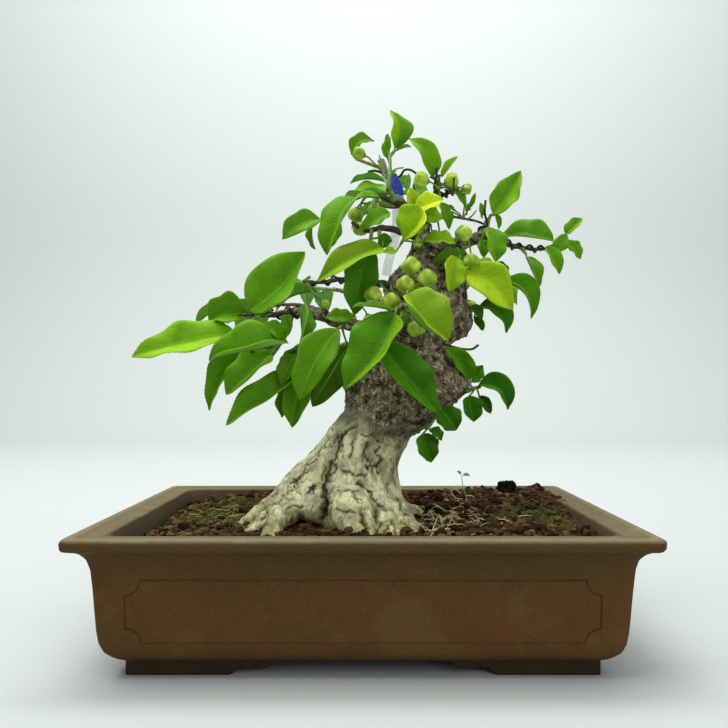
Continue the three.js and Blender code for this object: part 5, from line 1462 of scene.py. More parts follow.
        bpy.ops.object.select_all(action="DESELECT")
        bpy.ops.mesh.primitive_cone_add(vertices=3, radius1=0.34, radius2=0, depth=2, location=(0, 0, 1))
        blade = bpy.context.object
        bpy.ops.object.transform_apply(location=True, rotation=False, scale=False)
        move_to(blade, places_of(blade) / MM)
        edit(blade, lambda: bpy.ops.mesh.quads_convert_to_tris())
        middles, sizes, turns = [], [], []
        for x, z, size in MOSS_PLACES:
            middle = on_soil(x, z)
            for _ in range(int(size * size * 4)):
                away = draw() ** 0.6 * size
                angle = draw(0, math.tau)
                px, py = middle.x + away * math.cos(angle), middle.y + away * 1.5 * math.sin(angle)
                if abs(px) > half_x - 2 or abs(py) > half_y - 2:
                    continue
                high, _ = soil_relief(px, py, relief)
                tall = draw(0.35, 0.85)
                middles.append((px, py, soil_level(px, py) + high - 0.1))
                sizes.append((0.5, 0.5, tall))
                lean = Quaternion((math.cos(angle), math.sin(angle), 0), draw(0.1, 1.1))
                turns.append(lean.to_matrix())
        moss = strewn("moss", blade, np.array(turns), np.array(middles), np.array(sizes))
        moss.data.materials.append(
            plain_finish("moss", look.moss, srgb(120, 122, 60), 0.85, 0.2, 4, IOR=1.4)
        )
        finish(moss, "soil")
        return {"FINISHED"}


# Trunk
THICK_LIMBS = ("left", "right", "front", "back_left", "back_right", "back_up", "back_low", "leader")
VOXEL = 0.84


def trunk_level(z):
    """Left, right, front and back edge of the trunk at a height."""
    heights = [level[0] for level in TRUNK_LEVELS]
    path = TRUNK_PATH
    low, high = 0.0, 1.0
    for _ in range(22):
        middle = (low + high) / 2
        if path.at(middle).z < z:
            low = middle
        else:
            high = middle
    spot = low * (len(heights) - 1)
    first = min(int(spot), len(heights) - 2)
    weight = spot - first
    rows = [TRUNK_LEVELS[min(max(first + k, 0), len(heights) - 1)][1:] for k in (-1, 0, 1, 2)]
    made = []
    for a, b, c, d in zip(*rows):
        start, end = (c - a) / 2, (d - b) / 2
        bend = 3 * (c - b) - 2 * start - end
        made.append(b + start * weight + bend * weight**2 + (2 * (b - c) + start + end) * weight**3)
    return made


TRUNK_PATH = Path([(0, 0, level[0]) for level in TRUNK_LEVELS])


def trunk_place(turn, share):
    z = mix(200.4, 43, share)
    if share > 0.9:
        z = mix(z, 43, smooth(share, 0.9, 1.0))
    left, right, front, back = trunk_level(z)
    middle = ((left + right) / 2, (front + back) / 2)
    angle = turn * 360
    kept = 1.0
    for where, low, high, depth, spread in FURROWS:
        apart = abs((angle - where + 540) % 360 - 180)
        begun, ended = smooth(z, low - 6, low), smooth(z, high - 12, high)
        kept -= depth * begun * (1 - ended) * math.exp(-((apart / spread) ** 2))
    raised = 0.0
    for where, level, height, radius in KNOBS:
        apart = abs((angle - where + 540) % 360 - 180)
        away = math.hypot(math.radians(apart) * (right - left) / 2, z - level)
        raised += height * math.exp(-((away / radius) ** 2) * 1.6)
    closing = smooth(share, 0.0, 0.012) * smooth(1 - share, 0.0, 0.02)
    x = middle[0] + ((right - left) / 2 * kept + raised) * closing * math.cos(turn * math.tau)
    y = middle[1] + ((back - front) / 2 * kept + raised) * closing * math.sin(turn * math.tau)
    return x, y, z


def bark_at(place, crack_depth, knob_height):
    """How far the bark stands out, how cracked it is with the painted shadow under the burl added, how much it is burl
    bark, and how lifted the flake is.
    """
    x, y, z = place
    wobble = noise.noise(place * 0.07) * 5 + noise.noise(place * 0.22) * 2.4
    level = z + wobble - 0.36 * max(0, 30 - x)
    burl = smooth(level, 94, 98.5)
    if x < 20 and z > 212:
        burl *= 1 - 0.75 * smooth(z, 212, 222)
    warp = noise.noise_vector(place * 0.05) * 7 + noise.noise_vector(place * 0.25) * 1.8
    long_way = Vector((x + warp.x, y + warp.y, (z + warp.z) * 0.45))
    wide = 1 - smooth(abs(noise.noise(long_way * 0.14 + Vector((31, 5, 17)))), 0.03, 0.13)
    folds = abs(noise.noise(long_way * 0.27 + Vector((9, 4, 2))))
    thin = 1 - smooth(folds, 0.03, 0.15)
    open_wide = smooth(noise.noise(place * 0.08 + Vector((13, 3, 8))), 0.0, 0.35)
    open_thin = smooth(noise.noise(place * 0.11 + Vector((7, 1, 5))), -0.05, 0.35)
    crack_and_shade = max(wide * open_wide * 0.5, thin * open_thin * 0.3) * (1 - burl)
    # Painted shadow: darker bark just below the overhanging burl, on the front.
    crack_and_shade = max(crack_and_shade, 0.72 * smooth(level, 84, 94) * (1 - burl) * smooth(-y, -10, 10))
    lift = smooth(folds, 0.0, 0.3)
    lumps = noise.noise(Vector((x, y, z * 0.6)) * 0.16) * 1.1 + noise.noise(Vector((x, y, z * 0.5)) * 0.5) * 0.35
    pale_out = -crack_and_shade * crack_depth + (lift - 0.5) * 0.3 + lumps
    cell = noise.voronoi(place * 0.23 + warp * 0.05)[0]
    knob = 1 - min(1, cell[0] * 1.25)
    ridges = abs(noise.noise(Vector((x, y, z * 0.6)) * 0.42)) * 2
    tiny = noise.noise(place * 0.7) * 0.45 + noise.noise(place * 1.3) * 0.22
    knob_out = (knob * 0.7 + ridges * 0.5 - 0.5) * knob_height + tiny
    pit = smooth(0.34 - knob * 0.7 - ridges * 0.2, 0.0, 0.2) * burl
    return mix(pale_out, knob_out, burl), max(crack_and_shade, pit * 0.6), burl, mix(lift, min(1, knob * 0.8 + ridges * 0.4), burl)


def seen_marks(places, normals):
    """What the cracks and hollows in front do to each place: how dark it is painted (the cracks' dark colour, and
    painted shade in the hollows), how deep it is cut and how far pushed.
    """
    eye = np.array(EYE)
    spots = (eye + (places - eye) * (-EYE.y / (places[:, 1] - EYE.y))[:, None])[:, [0, 2]]
    bent = spots + np.sin(spots[:, ::-1] * 1.1) * 0.45 + np.sin(spots[:, ::-1] * 2.9 + 1) * 0.2
    front = np.clip((-0.15 - normals[:, 1]) / 0.35, 0, 1) * (places[:, 1] < 5)
    dark, split, pushed = np.zeros((3, len(places)))
    for path, width, depth in SPLITS:
        gap = np.full(len(places), 99.0)
        for start, end in zip(np.array(path), np.array(path[1:])):
            way = end - start
            share = np.clip((bent - start) @ way / (way @ way), 0, 1)
            gap = np.minimum(gap, np.linalg.norm(bent - start - share[:, None] * way, axis=1))
        near = np.exp(-((gap / width) ** 2)) * front
        dark, split = np.maximum(dark, near), np.maximum(split, near * depth)
    for x, z, width, tall, depth in HOLLOWS:
        away = ((spots[:, 0] - x) / width) ** 2 + ((spots[:, 1] - z) / tall) ** 2
        pushed += depth * np.exp(-away * 1.5) * front
        # Painted shade in the hollow.
        dark = np.maximum(dark, np.exp(-away * 1.2) * front)
    return dark, split, pushed


class BONSAI_OT_trunk(bpy.types.Operator):
    """Model the trunk: flared foot with surface roots, cracked neck, knobbly burl, limbs and twigs"""

    bl_idname = "bonsai.trunk"
    bl_label = "Trunk and twigs"

    def execute(self, context):
        look = context.scene.bonsai.trunk
        draw = draws(7)
        body = drawn_out("trunk_wood", 132, 190, trunk_place)
        tubes = [tube(root["points"], root["radii"], 1.5, 0.08, draw) for root in ROOTS]
        for name in THICK_LIMBS:
            limb = LIMBS[name]
            tubes.append(tube([seen(p) for p in limb["points"]], [r + 0.15 for r in limb["radii"]], 1.4, 0.12, draw))
        rods = strands("roots_and_limbs", tubes, 14)
        wood = join("bark", body, rods)
        apply_modifier(wood, "REMESH", mode="VOXEL", voxel_size=VOXEL * MM, use_smooth_shade=True)
        apply_modifier(wood, "SMOOTH", factor=0.5, iterations=4)
        places = places_of(wood) / MM
        normals = np.empty(len(places) * 3)
        wood.data.vertex_normals.foreach_get("vector", normals)
        normals = normals.reshape(-1, 3)
        dark, split, pushed = seen_marks(places, normals)
        crack_and_shade_values, burls, lifts = [], [], []
        for i, (place, normal) in enumerate(zip(places, normals)):
            out, crack_and_shade, burl, lift = bark_at(Vector(place), look.crack_depth / MM, look.knob_height / MM)
            centre = math.hypot(place[0] - 32, place[1])
            thin = smooth(centre, 24, 30) * smooth(place[2], 143, 150) + smooth(place[2], 184, 192)
            place += normal * (out * (1 - 0.75 * min(1, thin)) - split[i])
            place[1] += pushed[i]
            crack_and_shade_values.append(max(crack_and_shade, dark[i]))
            burls.append(burl)
            lifts.append(lift)
        move_to(wood, places)
        keep_value(wood, "crack_and_shade", crack_and_shade_values)
        keep_value(wood, "burl", burls)
        keep_value(wood, "lift", lifts)
        wood.data.materials.clear()
        wood.data.materials.append(bark_finish(look))
        twigs = []
        for name, limb in LIMBS.items():
            if name not in THICK_LIMBS:
                places, sizes = tube([seen(p) for p in limb["points"]], limb["radii"], 1.1, 0.14, draw)
                for i in range(1, len(places) - 1):
                    places[i] = places[i] + Vector((draw(-0.2, 0.2), draw(-0.2, 0.2), draw(-0.2, 0.2)))
                twigs.append((places, sizes))
        for points, size in BARE_TWIGS:
            twigs.append(tube([seen(p) for p in points], [size, size * 0.8], 0.8, 0.1, draw))
        thin_wood = strands("twigs", twigs, 10)
        thin_wood.data.materials.append(twig_finish(look))
        finish(join("trunk_bark", wood, thin_wood), "bark", "trunk")
        return {"FINISHED"}


# Hollows and clefts in the front of the bark, pushed in and darkened with painted shade: where they are seen, half
# width, half height and depth
# Cracks seen in front: the way each runs, its width and its depth
SPLITS = [
    ([(-20, 97), (-21.5, 93.5), (-22, 90), (-23, 86)], 0.8, 0.9),
    ([(-13.5, 96), (-15, 92.5)], 0.6, 0.6),
    ([(-4, 101.5), (-8, 98), (-11, 96.5), (-12, 93.5), (-13.5, 90), (-14, 86), (-15.5, 83)], 0.9, 1.1),
    ([(-18.5, 96), (-19.5, 92.5), (-20.5, 89.5)], 0.6, 0.6),
    ([(-23.5, 86), (-27, 85), (-31.5, 82), (-35.5, 80.5), (-38.5, 77.5), (-40.5, 74.5)], 0.7, 0.8),
    ([(-24.5, 84), (-29.5, 80.5), (-32, 76.5), (-36.5, 71.5)], 0.6, 0.5),
    ([(-19.5, 80.5), (-20.5, 77), (-21, 73.5)], 0.7, 0.7),
    ([(-17, 83.5), (-13.5, 80.5), (-14.5, 78), (-16.5, 75.5)], 0.7, 0.7),
    ([(-11.5, 78.5), (-7.5, 77), (-3.5, 75.5), (1.5, 76)], 0.7, 0.5),
    ([(2, 92.5), (0.5, 89), (1, 85.5), (2, 83.5)], 0.7, 0.8),
    ([(7.5, 90.5), (6, 87.5), (8, 85.5), (8.5, 82.5), (5.5, 80), (1, 80)], 0.8, 0.8),
    ([(12, 71.5), (12, 68)], 0.6, 0.5),
    ([(-3.5, 72), (0, 70), (3, 67.5), (4, 64), (7.5, 61), (11.5, 58.5)], 0.8, 0.9),
    ([(-16.5, 82.5), (-18, 74), (-20, 68), (-19.5, 63.5), (-20, 59), (-21, 53.5)], 1.4, 2),
    ([(-38, 59.5), (-34.5, 60.5), (-31, 59.5)], 0.6, 0.5),
    ([(8.5, 51.5), (7.5, 48.5), (6.5, 45)], 0.6, 0.7),
    ([(14.5, 53.5), (15.5, 50), (16.5, 45.5)], 0.6, 0.7),
    ([(19, 52.5), (21.5, 49.5), (25, 46.5), (28.5, 45)], 0.6, 0.7),
    ([(11.5, 49.5), (10.5, 46)], 0.6, 0.6),
    ([(-13, 58), (-8.5, 57), (-4.5, 57.5)], 0.6, 0.4),
    ([(-1, 57), (0, 53.5), (1.5, 48)], 1.6, 1.8),
    ([(-45, 68.5), (-46, 63), (-47.5, 60), (-51.5, 53.5)], 1, 1.2),
    ([(-10, 68.5), (-6, 67.5), (-2.5, 64)], 0.6, 0.5),
    ([(-8, 84), (-6, 87), (-6.5, 90.5), (-4.5, 94)], 0.6, 0.4),
    ([(-29.5, 65.5), (-27, 68.5), (-24.5, 70)], 0.6, 0.4),
    ([(17.5, 64), (19, 59), (21.5, 55)], 0.7, 0.6),
    ([(-1.5, 96), (3.5, 95.5), (9, 92.5)], 0.7, 0.5),
]

HOLLOWS = [
    (36, 134.6, 2.4, 1.8, 3.0),
    (-19.5, 60.5, 1.3, 8.5, 2.4),
    (-29, 49, 10, 3.4, 5.0),
    (6, 55, 1.6, 6, 1.6),
]

# Short bare twigs, with their thickness
BARE_TWIGS = [
    ([[10, 228.5, -2], [6, 230, -3], [2, 229.6, -3]], 0.75),
    ([[-50, 156.5, -14], [-58, 157, -15], [-64, 157.2, -16]], 0.8),
    ([[-46, 159, -14], [-48, 161.5, -15]], 0.7),
    ([[44, 207, -4], [57, 204.5, -4], [61, 203, -3]], 0.7),
]


# Leaves
BLADE_COLUMNS, BLADE_ROWS = 10, 48


def master_blade():
    bpy.ops.object.select_all(action="DESELECT")
    bpy.ops.mesh.primitive_grid_add(x_subdivisions=BLADE_COLUMNS, y_subdivisions=BLADE_ROWS, size=2, calc_uvs=True)
    blade = named("blade")
    blade.data.uv_layers[0].name = "UVMap"
    smooth_faces(blade)
    return blade


class Leaf:
    """One leaf: where its blade starts and ends, where it faces and how it bends. `lean` says how far its midrib lies
    off the middle, to the right on the way to the tip, where that half is turned edge-on."""

    def __init__(self, base, tip, width, face, arch, fold, tones=(0.5, 0.5), lean=0.0, curl=0.03, widest=0.42):
        self.start, self.size, self.width, self.arch, self.curl = base, (tip - base).length, width, arch, curl
        self.fold, self.tones, self.lean, self.widest = math.radians(fold), tones, lean, widest
        along = (tip - base).normalized()
        up = (face - along * face.dot(along)).normalized()
        self.along, self.up, self.side = np.array(along), np.array(up), np.array(along.cross(up))

    def half(self, share):
        rise = 0.86 * self.widest / (1 - self.widest)
        return self.width / 2 * (share / self.widest) ** rise * ((1 - share) / (1 - self.widest)) ** 0.86

    def midrib(self, share, sunk=0.0):
        """The middle line of the blade, without its lean, and how far it leans."""
        bend = self.arch * 4 * share * (1 - share) - self.curl * np.clip((share - 0.5) * 2, 0, 1) ** 2
        line = np.array(self.start) + self.along * (self.size * share)[:, None] + self.up * (bend * self.size - sunk)[:, None]
        return line, self.half(share) * self.lean * 0.75 * np.sin(math.pi * share) ** 0.5

    def blade(self, master, tooth, draw):
        """A copy of the master blade, shaped."""
        flat = places_of(master)
        across = flat[:, 0]
        away = np.abs(across)
        right = across > 0
        share = (flat[:, 1] + 1) / 2 * 0.994 + 0.003
        row = np.rint((flat[:, 1] + 1) / 2 * BLADE_ROWS)
        half = self.half(share) * (1 + 0.075 * np.sin(share * draw(9, 17) + draw(0, 6) + right * draw(1, 4)))
        half = half - (away > 0.99) * (row % 2) * tooth * min(1, self.width / 14)
        middle, off = self.midrib(share)
        slope = self.arch * 4 * (1 - 2 * share) - self.curl * 4 * np.clip((share - 0.5) * 2, 0, 1)
        tangent = self.along + self.up * slope[:, None]
        tangent /= np.linalg.norm(tangent, axis=1)[:, None]
        normal = self.up - tangent * (tangent @ self.up)[:, None]
        normal /= np.linalg.norm(normal, axis=1)[:, None]
        side = np.cross(tangent, normal)
        wave = np.sin(share * draw(9, 17) + draw(0, 6) + right * draw(1, 4)) * away**2 * self.width * draw(0.04, 0.1)
        quilt = np.sin(math.pi * away) * half * 0.1
        twist = across * half * (share - 0.45) * draw(-0.3, 0.3)
        narrow = np.sign(across) == np.sign(self.lean)
        off_size = np.abs(off)
        steep = np.sqrt(np.maximum((half + off_size) ** 2 * 0.85 - (half - off_size) ** 2, 0)) * narrow
        rise = away * (half * math.sin(self.fold * 1.5) + steep * away**0.4)
        rise += wave * np.sin(math.pi * share) + quilt + twist
        reach = off + across * (half - np.sign(across) * off)
        blade = master.copy()
        blade.data = master.data.copy()
        bpy.context.collection.objects.link(blade)
        move_to(blade, middle + side * (reach * math.cos(self.fold))[:, None] + normal * rise[:, None])
        # Each half of the blade keeps its own value of painted light and shade.
        left_tone, right_tone = self.tones
        keep_value(blade, "tone", left_tone + (right_tone - left_tone) * np.clip(across * 4 + 0.5, 0, 1))
        return blade

    def stalk(self, start):
        """The stalk of the leaf from the stem and the midrib that it goes on as, under the blade."""
        sag = (start + self.start) / 2 - Vector((0, 0, 0.05 * (self.start - start).length))
        places = [Path([start, sag, self.start]).at(i / 6) for i in range(6)]
        share = np.linspace(0, 0.94, 15)
        radii = 0.44 * (1 - share) ** 0.8 + 0.07
        line, off = self.midrib(share, radii + 0.04)
        places += [Vector(place) for place in line + self.side * off[:, None]]
        return places, [0.62, 0.56, 0.5, 0.48, 0.46, 0.46] + list(radii)


def looking(turn, up):
    a, b = math.radians(turn), math.radians(up)
    return Vector((math.sin(a) * math.cos(b), -math.cos(a) * math.cos(b), math.sin(b)))


def make_shoot(name, slot, blades, tubes, finishes, look):
    """Gives the blades their thickness and joins them to the stems."""
    upper, under, stalk = finishes
    leaves = join(name + "_blades", *blades)
    leaves.data.materials.append(upper)
    leaves.data.materials.append(under)
    thick = {"thickness": look.thickness, "offset": -1, "material_offset": 1, "use_even_offset": False}
    apply_modifier(leaves, "SOLIDIFY", **thick)
    stems = strands(name + "_stems", tubes, 8)
    stems.data.materials.append(stalk)
    shoot = join("leaves_" + name.removeprefix("shoot_"), leaves, stems)
    finish(shoot, slot, name)


def ruled_leaves(rule):
    """The stem and the leaves of a shoot that grows on from a limb by rule."""
    draw = draws(rule["seed"])
    ends = [seen(p) for p in LIMBS[rule["limb"]]["points"][-2:]]
    forward = Vector(rule["heading"]).normalized()
    across = forward.cross(Vector((0, 0, 1))).normalized()
    reach = rule["reach"]
    points = [
        ends[1].lerp(ends[0], 0.15),
        ends[1] + forward * reach * 0.5,
        ends[1] + forward * reach + Vector((0, 0, reach * 0.12)),
    ]
    path = Path(points)
    leaves = []
    for pair in range(rule["pairs"]):
        at = 0.3 + 0.68 * pair / (rule["pairs"] - 1)
        start = path.at(at)
        for sign in (-1, 1):
            size = rule["leaf"] * (0.72 + 0.28 * math.sin(math.pi * at)) * draw(0.88, 1.04)
            spread = math.radians(draw(48, 66) - 22 * at)
            droop = -draw(0.15, 0.5) - 0.12 * (rule["pairs"] - 1 - pair)
            way = forward * math.cos(spread) + across * (sign * math.sin(spread))
            way.z += droop
            way.normalize()
            face = Vector((draw(-0.35, 0.35), draw(-0.3, 0.3), 1))
            width = size * draw(0.42, 0.5)
            leaves.append((start, start + way * 3.5, start + way * (3.5 + size), width, face, draw(0.06, 0.12), 16))
    return points, leaves


class BONSAI_OT_shoots(bpy.types.Operator):
    """Model the leafy shoots: folded, veined blades on green stems"""

    bl_idname = "bonsai.shoots"
    bl_label = "Leafy shoots"

    def execute(self, context):
        look = context.scene.bonsai.leaf
        under, stalk = leaf_finish("leaf_underside", look, look.under, under=True), stalk_finish("green_stem", look)
        shades = (("dark", look.dark), ("mid", look.mid), ("young", look.young))
        finishes = {"leaf_" + key: (leaf_finish(key + "_blade", look, tuple(shade)), under, stalk) for key, shade in shades}
        master = master_blade()
        tooth = look.tooth / MM
        for number, shoot in enumerate(SHOOTS):
            draw = draws(1009 + 37 * number)
            points = [seen(p) for p in shoot["stem"]]
            path = Path(points)
            tubes = [tube(points, [1.15, 0.95, 0.75], 0.8, 0.06, draw)]
            blades = []
            rows = shoot["leaves"] + EXTRA_LEAVES.get(shoot["name"], [])
            tubes += [tube([seen(p) for p in sprig], [0.5, 0.34], 0.8) for sprig in SPRIGS.get(shoot["name"], [])]
            habits = HABITS.get(shoot["name"], [])
            for i, (at, bx, bz, by, tx, tz, ty, width, turn, up, arch, fold) in enumerate(rows):
                left_tone, right_tone, *bends = habits[i] if i < len(habits) else (0.5, 0.5, 0, 0.04)
                base, tip = seen((bx, bz, by)), seen((tx, tz, ty))
                leaf = Leaf(base, tip, width, looking(turn, up), arch, fold, (left_tone, right_tone), *bends)
                blades.append(leaf.blade(master, tooth, draw))
                tubes.append(leaf.stalk(seen(at) if isinstance(at, list) else path.at(at)))
            make_shoot(shoot["name"], shoot["finish"], blades, tubes, finishes[shoot["finish"]], look)
        for rule in RULED_SHOOTS:
            draw = draws(rule["seed"] + 500)
            points, leaves = ruled_leaves(rule)
            tubes = [tube(points, [1.15, 0.95, 0.75], 0.8, 0.06, draw)]
            blades = []
            for start, *form in leaves:
                # Random painted light and shade for each half of the blade.
                tones = (draw(0.3, 0.75), draw(0.3, 0.75))
                leaf = Leaf(*form, tones, draw(-0.35, 0.35), draw(-0.02, 0.12))
                blades.append(leaf.blade(master, tooth, draw))
                tubes.append(leaf.stalk(start))
            make_shoot(rule["name"], rule["finish"], blades, tubes, finishes[rule["finish"]], look)
        bpy.data.objects.remove(master)
        return {"FINISHED"}


# The leaves of each shoot in order: the painted light and shade of the left and the right half on the way to the tip (0
# painted shade,
# 0.5 plain, 1 painted light, 1.5 the young leaf's own colour), how far the midrib leans and how far the tip curls down
HABITS = {
    "shoot_left_end": [(0.95, 0.75, -0.2, 0.02), (0.6, 0.4, 0.3, 0.1), (0.42, 0.5, 0.2, -0.06)],
    "shoot_left_low": [
        (0.75, 0.45, -0.5, 0.08), (0.5, 0.3, 0, 0.05), (0.5, 0.5, 0, 0.05), (0.4, 0.4, 0, 0.05), (0.65, 0.5, -0.3, 0.06),
        (0.7, 0.5, 0.3, 0.05),
    ],
    "shoot_left_hanging": [
        (0.3, 0.55, 0.4, 0.03), (0.75, 0.5, -0.45, 0.05), (0.3, 0.5, 0.2, 0.04), (0.55, 0.4, 0.2, 0.04), (0.35, 0.3, 0, 0.04),
    ],
    "shoot_left_inner": [(0.35, 0.5, 0.2, 0.03), (0.12, 0.2, 0, 0.03), (0.45, 0.5, 0, 0.03)],
    "shoot_front": [(1.25, 1.0, -0.5, 0.02), (1.2, 1.0, 0, 0.02), (0.75, 1.0, 0.3, 0.02)],
    "shoot_front_bright": [(0.25, 0.7, 0.75, 0.03)],
    "shoot_right_young": [(0.5, 0.7, 0.4, 0.03), (0.62, 0.7, -0.2, 0.0), (0.6, 0.6, 0, 0.03)],
    "shoot_right_side": [(1.0, 1.15, -0.3, 0.05), (0.6, 0.5, 0, 0.05)],
    "shoot_right_low": [(0.7, 0.85, -0.5, 0.05), (0.8, 0.6, 0, 0.1)],
    "shoot_burl_right": [(0.5, 0.8, -0.5, 0.08), (0.45, 0.65, 0.2, 0.03), (0.3, 0.5, 0, 0.05), (0.6, 0.8, 0, 0.1), (0.95, 1.1, 0.2, 0.04)],
    "shoot_burl_low": [(0.5, 0.75, 0.2, 0.03), (0.35, 0.5, 0, 0.03)],
    "shoot_leader": [(1.1, 0.5, 0.1, -0.02), (0.5, 0.6, 0, 0.05), (0.6, 0.5, 0, 0.05)],
    "shoot_leader_left": [(0.6, 0.5, -0.4, 0.16)],
    "shoot_top_middle": [(0.68, 0.72, 0.2, 0.05), (0.8, 0.85, 0.3, 0.03), (0.4, 0.5, 0, 0.06), (0.3, 0.4, 0, 0.05)],
    "shoot_top_left": [(0.82, 0.55, -0.3, 0.04), (0.6, 0.45, 0.2, 0.06), (0.5, 0.4, 0, 0.04), (0.4, 0.5, 0, 0.04)],
    "shoot_upper_left": [(0.7, 0.6, 0, 0.04), (0.45, 0.55, 0, 0.04)],
    "shoot_middle_young": [(0.62, 0.8, 0.55, 0.02, 0.66), (0.45, 0.5, 0.2, 0.05)],
    "shoot_middle_right": [(0.85, 0.95, 0.1, 0.05), (0.45, 0.4, 0, 0.05), (0.75, 0.6, 0.2, 0.03)],
    "shoot_left_middle": [(0.5, 0.2, -0.25, 0.02)],
    "shoot_left_dark": [(0.7, 0.85, 0.1, 0.03), (0.5, 0.7, 0, 0.03)],
    "shoot_right_top": [(0.55, 0.75, 0.15, 0.05), (0.5, 0.5, 0, 0.03)],
    "shoot_limb_under": [(0.55, 0.85, 0.3, 0.03), (0.4, 0.5, 0, 0.05), (0.1, 0.25, 0, 0.03)],
    "shoot_right_end": [
        (0.75, 0.45, -0.3, 0.08), (0.6, 0.5, 0, 0.04), (0.5, 0.66, 0.2, 0.05), (0.65, 0.7, 0.2, 0.02), (0.6, 0.5, 0, 0.05),
    ],
    "shoot_right_under": [(0.4, 0.55, 0.4, 0.02)],
}

# Thin green sprigs
SPRIGS = {
    "shoot_top_middle": [
        [[50, 205.5, -4], [52, 209, -5], [53.8, 211.5, -6.5]],
        [[50, 205.5, -4], [48.5, 208, -5], [46, 210, -6]],
        [[50, 206, -5], [50.6, 209.5, -7], [51, 213, -9]],
        [[50, 205.5, -4], [47, 208, -5], [43, 210, -7]],
        [[52, 205, -4], [55, 207.5, -5], [57, 210, -5]],
        [[34, 203, -6], [34.5, 196, -8], [34, 193, -9]],
        [[37.5, 204, -6], [38.5, 197, -8], [38, 194, -9]],
    ],
    "shoot_leader": [
        [[11.5, 226, -9], [9, 231.5, -8], [7.8, 238, -8]],
        [[13.5, 229, -9], [16.5, 231, -9], [20, 231.6, -10]],
        [[13.5, 227, -9], [15.5, 229.5, -10], [16.5, 231, -10]],
    ],
}

# Leaves too small for a solid
EXTRA_LEAVES = {
    "shoot_left_end": [[0.3, -55, 157, -20, -46.5, 158.5, -22, 6, 0, 30, 0.05, 20]],
    "shoot_leader": [[0.8, 11.9, 236.5, -5, 9.4, 244, -5, 3, -20, 5, 0.05, 20]],
    "shoot_middle_young": [[1, 16, 189, -17, 10, 189, -19, 5, 0, 30, 0.05, 20]],
    "shoot_top_middle": [
        [[53.5, 210, -6], 53.8, 211.5, -6.5, 56.5, 219, -7, 2.6, 10, 10, 0.05, 20],
        [[52, 208, -5], 52, 209, -6, 53.4, 214, -7, 2.2, -20, 10, 0.05, 20],
        [[46, 210, -6], 45.6, 210.5, -7, 42, 212.8, -8, 2, 0, 30, 0.05, 20],
        [[60, 206, -5], 59.8, 207, -5, 59, 214, -6, 3.6, 20, 10, 0.05, 20],
        [[36, 214, -9], 35, 213, -12, 29, 207.5, -13, 6, -15, 30, 0.1, 20],
    ],
    "shoot_right_side": [[0.3, 68, 184, -3, 72, 175.5, -3, 6, 10, 5, 0.05, 22]],
    "shoot_right_low": [[1, 56, 156, -3, 60.5, 149, -2, 5, 10, 10, 0.1, 25]],
    "shoot_burl_low": [[0.9, 33.5, 99, -37, 39.5, 93.5, -38, 6, 20, 30, 0.16, 20]],
    "shoot_middle_right": [[[27, 210.5, -11], 24.6, 211.5, -13, 23.4, 221.5, -13, 6, 10, 10, 0.06, 16]],
    "shoot_limb_under": [[[50, 192, -8], 52.5, 187, -12, 35, 184.5, -16, 9, 0, 15, 0.05, 12]],
    "shoot_burl_right": [[[51.5, 121, -14], 53, 124, -17, 41, 141, -24, 9, 15, 22, 0.12, 20]],
}


# Fruit
def capsule(name, middle, axis, diameter):
    """An unripe capsule with four lobes, dimpled at its tip."""
    radius = diameter / 2
    turn = Vector((0, 1, 0)).rotation_difference(axis)
    sutures = []

    def skin(angle, share):
        level = math.cos(math.pi * share)
        around = math.tau * angle
        lobe = 1 - 0.125 * (1 - math.cos(4 * around)) * (1 - level * level) ** 0.6
        groove = max(0.0, -math.cos(4 * around)) ** 4
        flat = math.sqrt(max(0, 1 - level * level))
        dimple = 1 - 0.22 * math.exp(-(((1 + level) / 0.14) ** 2)) - 0.08 * math.exp(-(((1 - level) / 0.1) ** 2))
        sutures.append(groove * 0.4 * flat + (0.6 if level < -0.97 else 0))
        wide = radius * lobe * (1 - 0.02 * groove) * flat
        round_place = Vector((math.cos(around) * wide, level * radius * 0.9 * dimple, math.sin(around) * wide))
        return middle + turn @ round_place

    fruit = drawn_out(name, 32, 18, skin)
    keep_value(fruit, "suture", sutures)
    return fruit


class BONSAI_OT_fruit(bpy.types.Operator):
    """Model the fruit bunches: four-lobed capsules on thin stalks"""

    bl_idname = "bonsai.fruit"
    bl_label = "Fruit bunches"

    def execute(self, context):
        look = context.scene.bonsai.fruit
        skin, stalk = fruit_finish(look), stalk_finish("capsule_stalk", context.scene.bonsai.leaf)
        for bunch in BUNCHES:
            start, fork = seen(bunch["root"]), seen(bunch["fork"])
            tubes = [tube([start, fork], [0.8, 0.6], 1)]
            fruits = []
            for x, z, depth, diameter in bunch["fruits"]:
                place = seen((x, z, depth))
                bend = fork.lerp(place, 0.45) + Vector((0, -0.8, 1))
                axis = (bend - place).normalized()
                fruits.append(capsule("capsule", place, axis, diameter))
                cup = place + axis * diameter * 0.43
                tubes.append(tube([fork, bend, cup], [0.5, 0.45, 0.55], 0.8))
                side = axis.orthogonal().normalized()
                for quarter in range(4):
                    out = Quaternion(axis, math.pi / 2 * quarter + 0.4) @ side
                    lobe = [cup + axis * 0.1, cup + out * 1.1, cup + out * 1.9 - axis * 0.55]
                    tubes.append((lobe, [0.5, 0.42, 0.12]))
            body = join(bunch["name"] + "_skin", *fruits)
            smooth_faces(body)
            body.data.materials.append(skin)
            stalks = strands(bunch["name"] + "_stalks", tubes, 8)
            stalks.data.materials.append(stalk)
            piece = join("capsules_" + bunch["name"].removeprefix("fruit_"), body, stalks)
            finish(piece, "fruit", bunch["name"])
        return {"FINISHED"}


